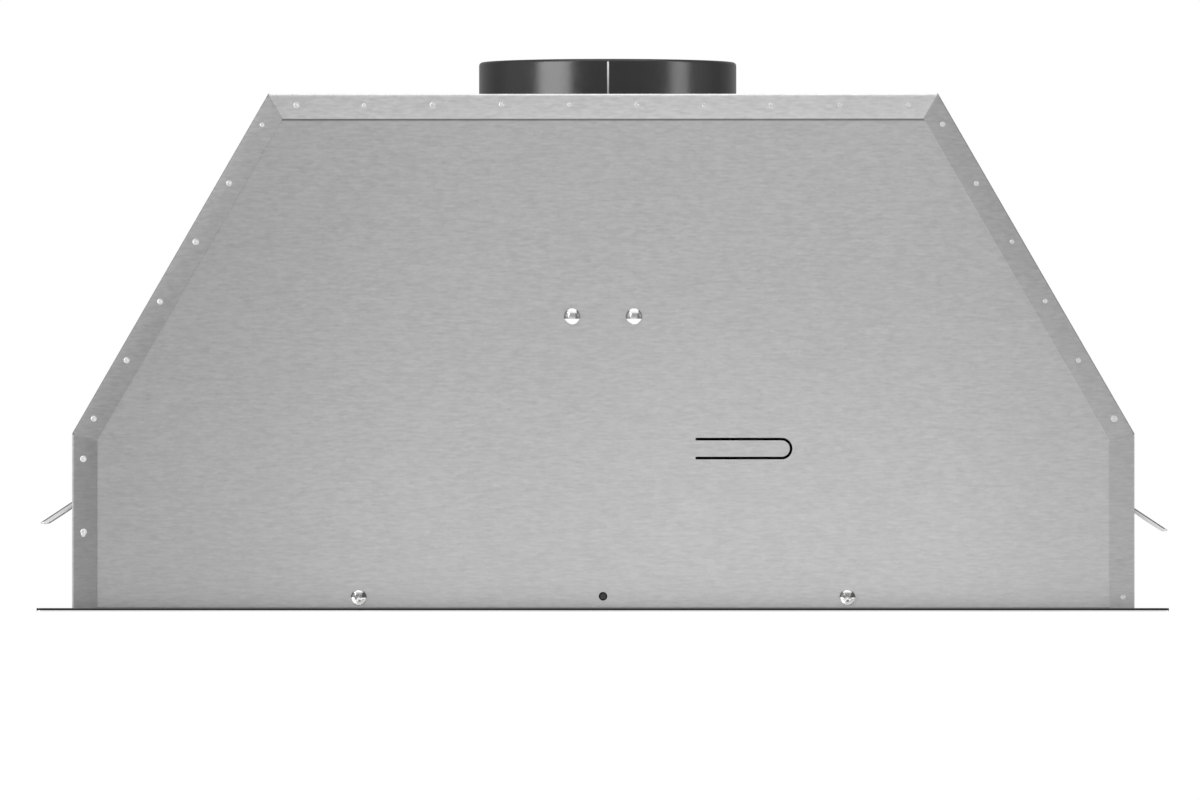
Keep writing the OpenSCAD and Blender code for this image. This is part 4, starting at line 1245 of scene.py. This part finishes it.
row, ring, scatter = row_grower(), ring_grower(), scatter_grower()
print("trees:", [tree.name for tree in bpy.data.node_groups])

# %% [markdown]
# ## Baffle filters
#
# A baffle filter has two rows of open channels that face each other, offset by half
# a pitch. Air must turn twice to get through, and the grease can't follow. The
# channels are folded from thin stainless, so their bends are round. They could be
# one pierced plate, but then the second row would not show through the first.

# %% Filters
VANE_W, VANE_H, VANE_T, VANE_BEND, VANE_PITCH = 21, 7.2, 0.7, 1.4, 29
wall, floor_z = (VANE_W - VANE_T) / 2, VANE_T / 2
vane_path = rounded_path([
    (-wall, VANE_H, 0), (-wall, floor_z, VANE_BEND), (wall, floor_z, VANE_BEND), (wall, VANE_H, 0),
])
vane_steel = brushed_stainless("brushed_vanes", 1, (0.62, 0.62, 0.615)).material
for side in ("left", "right"):
    for level, turned in (("lower", 0), ("upper", math.pi)):
        low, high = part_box(f"{level}_vanes_{side}")
        count = round(((high.x - low.x) / MM - VANE_W) / VANE_PITCH) + 1
        vane = prism("vane", strip_section(vane_path, VANE_T * MM), low.y - high.y, 0)
        grown = row.grow("vanes", vane, Count=count, Pitch=VANE_PITCH * MM, Finish=vane_steel)
        stand = Vector(((low.x + high.x) / 2, high.y, high.z if turned else low.z))
        moved(grown, Matrix.Rotation(turned, 4, "Y"), Matrix.Translation(stand))
        add_piece(f"{level}_vanes_{side}_row", smooth(grown), f"{level}_vanes_{side}",
                  finishes=[vane_steel])
    soften(f"filter_frame_{side}", 0.3 * MM)
    soften(f"filter_handle_{side}", 0.5 * MM, 3)
print("vanes in the last row:", count)

# %% [markdown]
# ## Lamps and push buttons
#
# Each lamp is a turned metal ring that is pressed into the tray, with a frosted
# lens. Fine rings in the lens spread the light. The buttons are turned too. A
# shallow dish in each cap guides the fingertip, and pressed dots tell the speeds
# apart, since there is no room for words.

# %% Lamps
ring_section = rounded_path([
    (26.4, 18.5, 0.7), (35.5, 18.5, 1.5), (36.5, 20.5, 0.3), (30.2, 20.5, 0), (30.2, 30, 0.3),
    (28.9, 30, 0.3), (28.9, 19.3, 0), (26.4, 19.3, 0.2),
], closed=True)
lens_section = [Vector((0, 19.45)) * MM]
lens_section += [Vector((1.2 * k, 19.45 + (0.14 if k % 2 else 0))) * MM for k in range(1, 24)]
lens_section += rounded_path([(28.7, 19.35, 0), (28.7, 21.8, 0.3), (0, 21.8, 0)])
for side in ("left", "right"):
    spot = Matrix.Translation((*middle_of(f"lamp_ring_{side}").xy, 0))
    bezel = moved(lathe("ring", ring_section), spot)
    glass = moved(lathe("lens", lens_section), spot)
    add_piece(f"lamp_ring_{side}_turned", smooth(bezel), f"lamp_ring_{side}")
    add_piece(f"lamp_lens_{side}_ringed", smooth(glass, 60), f"lamp_lens_{side}")
    soften(f"lamp_module_{side}", 0.3 * MM)
print("lens rings:", len(lens_section) // 2)

# %% Buttons
cap_section = rounded_path([
    (0, 17.25, 0), (3.0, 17.05, 2), (4.6, 16.8, 0.8), (5.9, 16.8, 0.5), (6.5, 18.0, 0.5),
    (6.5, 20.5, 0), (8, 20.5, 0), (8, 21.7, 0.2), (2, 21.7, 0), (2, 31.7, 0.3), (0, 31.7, 0),
])
dot_section = rounded_path([(0, 16.95, 0), (0.55, 16.95, 0.1), (0.55, 17.6, 0), (0, 17.6, 0)])
cap_finishes = [finish_of["button_metal"], finish_of["plate_black"]]
DOT_PITCH = 1.8 * MM
dots_of = {"light": 0, "off": 0, "low": 1, "medium": 2, "high": 3}
for name, dots in dots_of.items():
    forms = [lathe("cap", cap_section, 64, closed=False)]
    for k in range(dots):
        dot = painted(lathe("dot", dot_section, 24, closed=False), 1)
        forms.append(moved(dot, Matrix.Translation(((k - (dots - 1) / 2) * DOT_PITCH, 0, 0))))
    spot = Matrix.Translation((*middle_of(f"button_{name}").xy, 0))
    cap = smooth(moved(joined("cap", *forms), spot))
    add_piece(f"button_{name}_turned", cap, f"button_{name}", finishes=cap_finishes)
soften("control_plate", 0.5 * MM, 3)
print("buttons:", ", ".join(dots_of))

# %% [markdown]
# ## Screws
#
# Two kinds hold the front. The dome heads are plain cold-formed caps; the pan heads
# have a cross recess that tapers with the driver's tip. Each screw is a copy of one
# form at the place of its CAD twin, turned by chance, as a driver leaves it.
#
# A plated head is a small mirror. It shows a dark stripe across its middle and pale
# metal above and below it. A wide soft studio has nothing so dark to mirror, so the
# stripe is drawn into the plating, from the distance to the screw's own axis.


# %% Places of the screws
def loose_boxes(node):
    """The low and high corner of every separate solid of a CAD part."""
    bm = bmesh.new()
    bm.from_mesh(merged_copy(node))
    left, boxes = set(bm.verts), []
    while left:
        island, fresh = set(), [left.pop()]
        while fresh:
            vert = fresh.pop()
            island.add(vert)
            near = {edge.other_vert(vert) for edge in vert.link_edges} & left
            left -= near
            fresh += near
        boxes.append([Vector([pick(v.co[i] for v in island) for i in range(3)]) for pick in (min, max)])
    bm.free()
    return sorted(boxes, key=lambda box: tuple(box[0]))


def point_cloud(places):
    """A mesh of bare points with the direction that each copy faces."""
    mesh = bpy.data.meshes.new("points")
    mesh.from_pydata([place for place, facing in places], [], [])
    facing = mesh.attributes.new("facing", "FLOAT_VECTOR", "POINT")
    facing.data.foreach_set("vector", [c for place, way in places for c in way])
    return mesh


def head_places(node, way, head_h):
    """Where the heads of a screw part sit, with the way that each one faces."""
    places = []
    for low, high in loose_boxes(node):
        middle = (low + high) / 2
        facing = Vector(way) if way else Vector((0, math.copysign(1, middle.y), 0))
        reach = (high - low) / 2
        top = middle + Vector([f * r for f, r in zip(facing, reach)])
        places.append((top - facing * head_h * MM, facing))
    return places


dome_x = [round((low.x + high.x) / 2 / MM, 1) for low, high in loose_boxes("dome_screws")]
print("dome screws at x", dome_x)


# %% Forms of the screws
CROWN = 0.68
RECESS_REACH, RECESS_WIDTH = 0.56, 0.16


def dome_form(radius, height, shank_r, length):
    """A low dome, a cap of a ball, on its shank."""
    crown = CROWN * height
    ball = (radius ** 2 + crown ** 2) / (2 * crown)
    widest = math.asin(radius / ball)
    cap = [Vector((ball * math.sin(widest * k / 10), height - ball * (1 - math.cos(widest * k / 10))))
           for k in range(11)]
    shank = rounded_path([(radius, 0, 0), (shank_r, 0, 0.3), (shank_r, -length, 0.6), (0, -length, 0)])
    return smooth(lathe("dome_form", [p * MM for p in cap] + shank[1:], 48, closed=False), 50)


def pan_form(radius, height, shank_r, length):
    """A pan head with a cross recess, on its shank."""
    section = rounded_path([
        (0, height, 0), (radius * 0.5, height, radius * 0.3),
        (radius * 0.92, height * 0.7, radius * 0.22), (radius, 0, 0.2),
        (shank_r, 0, 0.2), (shank_r, -length, 0.5), (0, -length, 0),
    ])
    head = lathe("pan_head", section, 48, closed=False)
    bm = bmesh.new()
    reach, width = radius * RECESS_REACH * MM, radius * RECESS_WIDTH * MM
    for a in (0, math.pi / 2):
        blade = bmesh.ops.create_cube(bm, size=1)["verts"]
        for v in blade:
            taper = 1.15 if v.co.z > 0 else 0.45
            v.co = Vector((v.co.x * 2 * reach * taper, v.co.y * 2 * width * taper,
                           (height * (1.2 if v.co.z > 0 else 0.35)) * MM))
            v.co.rotate(Matrix.Rotation(a, 3, "Z"))
    tip = put("driver", as_mesh(bm, "driver"))
    cut = finished_mesh(head, "pan_form", ("BOOLEAN", {
        "operation": "DIFFERENCE", "object": tip, "solver": "EXACT", "use_self": True}))
    bpy.data.objects.remove(tip)
    return smooth(cut, 35)


print("forms of the screws: dome and pan")


# %% Plating of the front's screws, with a painted reflection
PAINTED_PALE = 1.14
SOFT = 0.5 * MM


def plating_with_painted_reflection(name, axis_x, axis_z, stripe, at_sides, in_middle):
    """Zinc plating with a painted reflection: a dark stripe between two heights above the screw's axis,
    painted pale above and below.
    """
    plating = Finish(name, (0.83, 0.83, 0.82), 1.0, 0.14)
    handling = plating.noise((700, 700, 700), 3, 0.6)
    off_axis = abs(abs(plating.axis("X")) - axis_x)
    aside = off_axis.rise(2.0 * MM, 3.2 * MM)
    up = plating.axis("Z") - axis_z
    above_foot, above_top = (up.rise(edge - SOFT, edge + SOFT) for edge in stripe)
    painted_dark_reflection = above_foot * (1 - above_top * (1 - off_axis.rise(3 * MM, 4 * MM)))
    painted_stripe_tone = blend(in_middle, at_sides, aside)
    plating.tone((0.92 + 0.16 * handling) * blend(PAINTED_PALE, painted_stripe_tone, painted_dark_reflection))
    plating.feed("Roughness", 0.08 + 0.16 * handling + 0.25 * painted_dark_reflection * aside)
    plating.relief(handling, 0.02 * MM, 0.5)
    return plating.material


def axis_of(node):
    """How far the first screw of a part lies from the middle, and how high."""
    low, high = loose_boxes(node)[0]
    return abs(low.x + high.x) / 2, (low.z + high.z) / 2


# Each row: finish, foot and top of the painted reflection's stripe, its tones at the sides and the
# middle.
painted_stripes = {
    "dome_screws": ("dome_plating", (-1.7 * MM, 2.7 * MM), 0.16, 0.58),
    "low_screws": ("pan_plating", (-0.1 * MM, 3.8 * MM), 0.08, 0.55),
}
plated = {node: plating_with_painted_reflection(name, *axis_of(node), *tones) for node, (name, *tones) in painted_stripes.items()}
print("stripes at", [round(axis_of(node)[1] / MM, 1) for node in plated], "mm")

# %% Screws in their places
HEAD_R, HEAD_H, SMALL_R, SMALL_H = 6.1, 4.0, 3.3, 2.0
# Each row: the way a head faces, its form, then radius, height, shank and length in mm.
screw_kinds = {
    "dome_screws": ((0, -1, 0), dome_form, (HEAD_R, HEAD_H, 2.4, 9)),
    "low_screws": (None, pan_form, (HEAD_R, HEAD_H, 2.4, 9)),
    "collar_screws": ((0, 0, 1), pan_form, (SMALL_R, SMALL_H, 1.7, 9)),
    "blower_screws": ((0, 0, 1), pan_form, (SMALL_R, SMALL_H, 1.7, 8)),
    "motor_screws": ((1, 0, 0), pan_form, (SMALL_R, SMALL_H, 1.7, 8)),
}
for seed, (node, (way, form, sizes)) in enumerate(screw_kinds.items()):
    cloud = point_cloud(head_places(node, way, sizes[1]))
    grown = scatter.grow(node, form(*sizes), cloud, Seed=seed, Turn=1.2, Vary=0.0,
                         Finish=plated.get(node, finish_of["screw_zinc"]))
    add_piece(f"{node}_set", grown, node)
    print(node, len(cloud.vertices), "screws,", len(grown.polygons), "faces")

# %% [markdown]
# ## Plug of the pilot hole
#
# The hole low in the middle of the front is used to hang the hood while it is
# fitted. Afterwards a black plug closes it from inside, so it looks dark. It is a
# turned form: a thin flange behind the tray's wall and a nose in the hole.

# %% Pilot plug
PILOT_Z, TRAY_WALL_Y = 12 * MM, 213.7 * MM
plug_section = rounded_path([
    (0, 1.4, 0), (2.4, 1.4, 0.5), (3.1, 0.1, 0), (5.4, 0, 0.3), (5.4, -1.3, 0.5), (0, -1.3, 0),
])
plug = moved(lathe("pilot_plug", plug_section, 32, closed=False), Matrix.Rotation(math.pi / 2, 4, "X"),
             Matrix.Translation((0, -TRAY_WALL_Y, PILOT_Z)))
plug_piece = add_piece("pilot_plug", smooth(plug), finishes=[finish_of["plate_black"]], body="hood")
print("pilot plug behind the hole at", PILOT_Z / MM, "mm")

# %% [markdown]
# ## Spot welds
#
# The lips are spot-welded to the face panels. The electrode leaves a shallow ring
# of burnt metal, about every 52 mm. A welder sets them by eye, so their size and
# their place vary a little. They follow one rule along the top and the slopes. On
# the upright lips most were ground flush, and only a few still show.

# %% Welds
WELD_PITCH = 52 * MM
WELD_INSET = 8.3 * MM
WELD_STRAY = 0.7 * MM
TOP_WELDS, SLOPE_WELDS = 10, 6
SLOPE_WELD_Z = (147.6 * MM, 373.3 * MM)
SIDE_WELDS = ((-1, 117 * MM), (-1, 61 * MM), (-1, 59 * MM), (1, 11.5 * MM))
weld_section = [Vector(p) * MM for p in
                ((0, 0.02), (0.7, 0.03), (1.1, 0.10), (1.6, 0.08), (2.1, 0.02), (2.3, -0.05))]


def weld_places():
    """Points along the lips of the front, then the same ones on the rear."""
    flat = [((k - (TOP_WELDS - 1) / 2) * WELD_PITCH, top_z - WELD_INSET) for k in range(TOP_WELDS)]
    shoulder, peak = canopy_corners(WELD_INSET)
    for k in range(SLOPE_WELDS):
        z = SLOPE_WELD_Z[0] + (SLOPE_WELD_Z[1] - SLOPE_WELD_Z[0]) * k / (SLOPE_WELDS - 1)
        share = (z - shoulder.y) / (peak.y - shoulder.y)
        flat += [(side * shoulder.lerp(peak, share).x, z) for side in (-1, 1)]
    flat += [(side * (half_w - WELD_INSET), z) for side, z in SIDE_WELDS]
    places = []
    for face in (-1, 1):
        for k, (x, z) in enumerate(flat):
            stray = WELD_STRAY * math.sin(5.3 * k + face)
            places.append((Vector((x + stray, face * half_d, z + stray / 2)), Vector((0, face, 0))))
    return places


spots = point_cloud(weld_places())
nugget = smooth(lathe("weld", weld_section, 20, closed=False), 60)
welds = scatter.grow("weld_spots", nugget, spots, Seed=11, Turn=6.28, Vary=0.22,
                     Finish=steel["weld_spot"])
weld_piece = add_piece("weld_spots", welds, finishes=[steel["weld_spot"]], body="hood")
print("weld spots:", len(spots.vertices))

# %% [markdown]
# ## Blower wheel
#
# A hood blower has a drum of many narrow blades that curve forward. A blade's angle
# grows with the square of its way out, so it leaves the inner edge almost straight
# and ends with a lead of nine degrees. The blades are riveted between two rims and
# carried by a disc in the middle, with its hub on the motor's shaft.

# %% Wheel
BLADES, BLADE_IN, BLADE_DEPTH, BLADE_LEAD = 38, 76, 16, math.radians(9)
BLADE_STEPS = 8
WHEEL_W, RIM_T = 160, 3
blade_path = []
for k in range(BLADE_STEPS + 1):
    r, a = BLADE_IN + BLADE_DEPTH * k / BLADE_STEPS, BLADE_LEAD * (k / BLADE_STEPS) ** 2
    blade_path.append(Vector((r * math.cos(a), r * math.sin(a))) * MM)
half_wheel = WHEEL_W / 2 * MM
blade = prism("blade", strip_section(blade_path, 1 * MM), -half_wheel, half_wheel)
moved(blade, Matrix.Rotation(math.pi / 2, 4, "Z"))
drum = ring.grow("drum", blade, Count=BLADES, Finish=finish_of["galvanised"])
rim_section = rounded_path([
    (87.2, -RIM_T / 2, 0.7), (93, -RIM_T / 2, 1.1), (93, RIM_T / 2, 1.1), (87.2, RIM_T / 2, 0.7),
], True)
hub_section = rounded_path([
    (5, -22, 0.6), (14, -22, 1.2), (14, -1, 2.5), (85.6, -1, 0.4), (85.6, 1, 0.4), (5, 1, 0.6),
], True)
rim_x = (WHEEL_W - RIM_T) / 2 * MM
rims = [moved(lathe("rim", rim_section, 144), TO_X, Matrix.Translation((side * rim_x, 0, 0)))
        for side in (-1, 1)]
hub = moved(lathe("hub", hub_section, 96), TO_X)
axle = Matrix.Translation((0, *middle_of("blower_wheel").yz))
wheel = smooth(moved(joined("wheel_drum", drum, *rims, hub), axle))
add_piece("wheel_drum", wheel, "blower_wheel")
print("blades:", BLADES, "faces:", len(wheel.polygons))

# %% [markdown]
# ## Side clips
#
# When the hood is pushed up into the cabinet, two sprung leaves fold in and then
# snap out over the cabinet's edge. Each leaf is pressed from spring steel. Its front
# edge is turned down past square to stiffen it, its rear edge only a little. From
# the front one sees the bend as a thin dark line, a painted shade, and below it the
# pale edge, which mirrors the floor. A grid carries the bent section along the leaf,
# and Solidify gives it the sheet's thickness.

# %% Leaf of a clip
CLIP_LEN, CLIP_HALF_W, CLIP_T, CLIP_CORNER = 32 * MM, 40 * MM, 1 * MM, 3 * MM
CLIP_EDGE, CLIP_SAG, CLIP_BEND = 2.9 * MM, 0.6 * MM, 0.56 * MM
CLIP_ANGLE = math.radians(33.5)
FRONT_TURN, REAR_TURN = math.radians(103), math.radians(30)
LEAF_STEPS, BEND_STEPS = 20, 5


def edge_depth(u):
    """How deep the turned edge is at a distance from the root: a shallow bow."""
    half = CLIP_LEN / 2
    bow_r = (half ** 2 + CLIP_SAG ** 2) / (2 * CLIP_SAG)
    depth = CLIP_EDGE - bow_r + math.sqrt(bow_r ** 2 - (u - half) ** 2)
    past = max(u - CLIP_LEN + CLIP_CORNER, 0) / CLIP_CORNER
    return depth * min(u / (2 * MM), 1) * math.sqrt(max(1 - past ** 2, 0)) + 0.05 * MM


def leaf_section(u, turn):
    """Half the section across the leaf, from the middle out and down the turned edge."""
    past = max(u - CLIP_LEN + CLIP_CORNER, 0)
    reach = CLIP_HALF_W - CLIP_T / 2 - CLIP_CORNER + math.sqrt(CLIP_CORNER ** 2 - past ** 2)
    bend_v = reach - CLIP_BEND
    section = [(bend_v * share, 0) for share in (0, 0.5, 0.9)]
    turns = [turn * k / BEND_STEPS for k in range(BEND_STEPS + 1)]
    section += [(bend_v + CLIP_BEND * math.sin(a), CLIP_BEND * (math.cos(a) - 1)) for a in turns]
    v, w = section[-1]
    depth = max(edge_depth(u) - CLIP_BEND, 0.02 * MM)
    section += [(v + depth * k * math.cos(turn) / 3, w - depth * k * math.sin(turn) / 3)
                for k in (1, 2, 3)]
    return section


def leaf_mesh():
    """The leaf with its turned edges, from its root at the origin outwards along X."""
    bm = bmesh.new()
    grid = []
    for i in range(LEAF_STEPS + 1):
        u = CLIP_LEN * (1 - (1 - i / LEAF_STEPS) ** 1.5)
        eased = min(1, 0.15 + u / (3 * MM), 0.1 + (CLIP_LEN - u) / CLIP_CORNER)
        front, rear = leaf_section(u, FRONT_TURN * eased), leaf_section(u, REAR_TURN * eased)
        line = [(-v, w) for v, w in reversed(front)] + rear[1:]
        grid.append([bm.verts.new((u, v, w)) for v, w in line])
    #     Across the leaf the first three faces are the turned edge, then comes its bend, which carries
    #     the painted shade.
    painted_shade_faces = range(4, 3 + BEND_STEPS)
    for one, two in zip(grid, grid[1:]):
        for j in range(len(one) - 1):
            face = bm.faces.new((one[j], two[j], two[j + 1], one[j + 1]))
            face.material_index = 1 if j in painted_shade_faces else 0
    sheet = as_mesh(bm, "leaf")
    return finished_mesh(sheet, "leaf", ("SOLIDIFY", {"thickness": CLIP_T, "offset": 0}))


print("leaf", CLIP_LEN / MM, "mm long,", 2 * CLIP_HALF_W / MM, "mm wide")

# %% Clips in their windows
for side, name in ((1, "right"), (-1, "left")):
    root = Vector((half_w - 1.5 * SHEET, middle_of(f"side_clip_{name}").y, CLIP_ROOT_Z[name]))
    leaf = moved(leaf_mesh(), Matrix.Rotation(CLIP_ANGLE, 4, "Y"), Matrix.Translation(root))
    if side < 0:
        moved(leaf, Matrix.Scale(-1, 4, (1, 0, 0)))
        leaf.flip_normals()
    add_piece(f"side_clip_{name}_leaf", smooth(leaf), f"side_clip_{name}",
              finishes=[finish_of["spring_steel"], steel["blued_edge"]])
print("clips stand out to", round(CLIP_LEN * math.cos(CLIP_ANGLE) / MM, 1), "mm from their root")

# %% [markdown]
# ## Everything inside
#
# The parts behind the sheet keep the shape that the CAD gave them. They are folded,
# moulded or cast, and each gets edges to match: thin sheet hardly any, the motor's
# cast shell and the capacitor's can a generous rounding.

# %% Inner parts
rounding_mm = {
    "damper_pin": 0.3, "scroll_wrapper": 0.2, "scroll_left_plate": 0.2, "scroll_right_plate": 0.2,
    "inlet_ring_left": 0.3, "inlet_ring_right": 0.3, "wheel_shaft": 0.5, "motor": 0.8,
    "motor_mount": 0.4, "blower_stay": 0.3, "capacitor": 1.6, "capacitor_clip": 0.4,
    "junction_box": 0.2, "junction_cover": 0.2, "lamp_driver": 0.6, "switch_block": 0.8,
    "spring_seats": 0.3, "filter_spring_left": 0.2, "filter_spring_right": 0.2, "clip_bases": 0.25,
}
for node, width in rounding_mm.items():
    soften(node, width * MM)
print("softened inner parts:", len(rounding_mm))

# %% [markdown]
# ## Flag the accent lights
#
# Light linking is Blender's flag on a lamp stand: an accent lights only what is in
# its receiver collection. Everything goes in, and the floor too, but for the zinc
# sheets, the tray with its trim and the flat spring leaves.

# %% Accent lights
broad = (sheet_zinc, panel_zinc, lip_zinc, tray_steel, finish_of["spring_steel"])
flagged = {finish.name for finish in broad}
glossy_parts = bpy.data.collections.new("glossy_parts")
for piece in bpy.context.scene.objects:
    if piece.type == "MESH" and not flagged & {m.name for m in piece.data.materials if m}:
        glossy_parts.objects.link(piece)
for stand in accents:
    stand.light_linking.receiver_collection = glossy_parts

# %% [markdown]
# ## Check the size and finish
# The boxes of the CAD and of the finished model are printed one after the other.

# %% Sizes
visual_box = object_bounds()
for name, box in (("CAD", cad_box), ("visual", visual_box)):
    print(name, [round(c / MM, 1) for c in (*box[0], *box[1])])
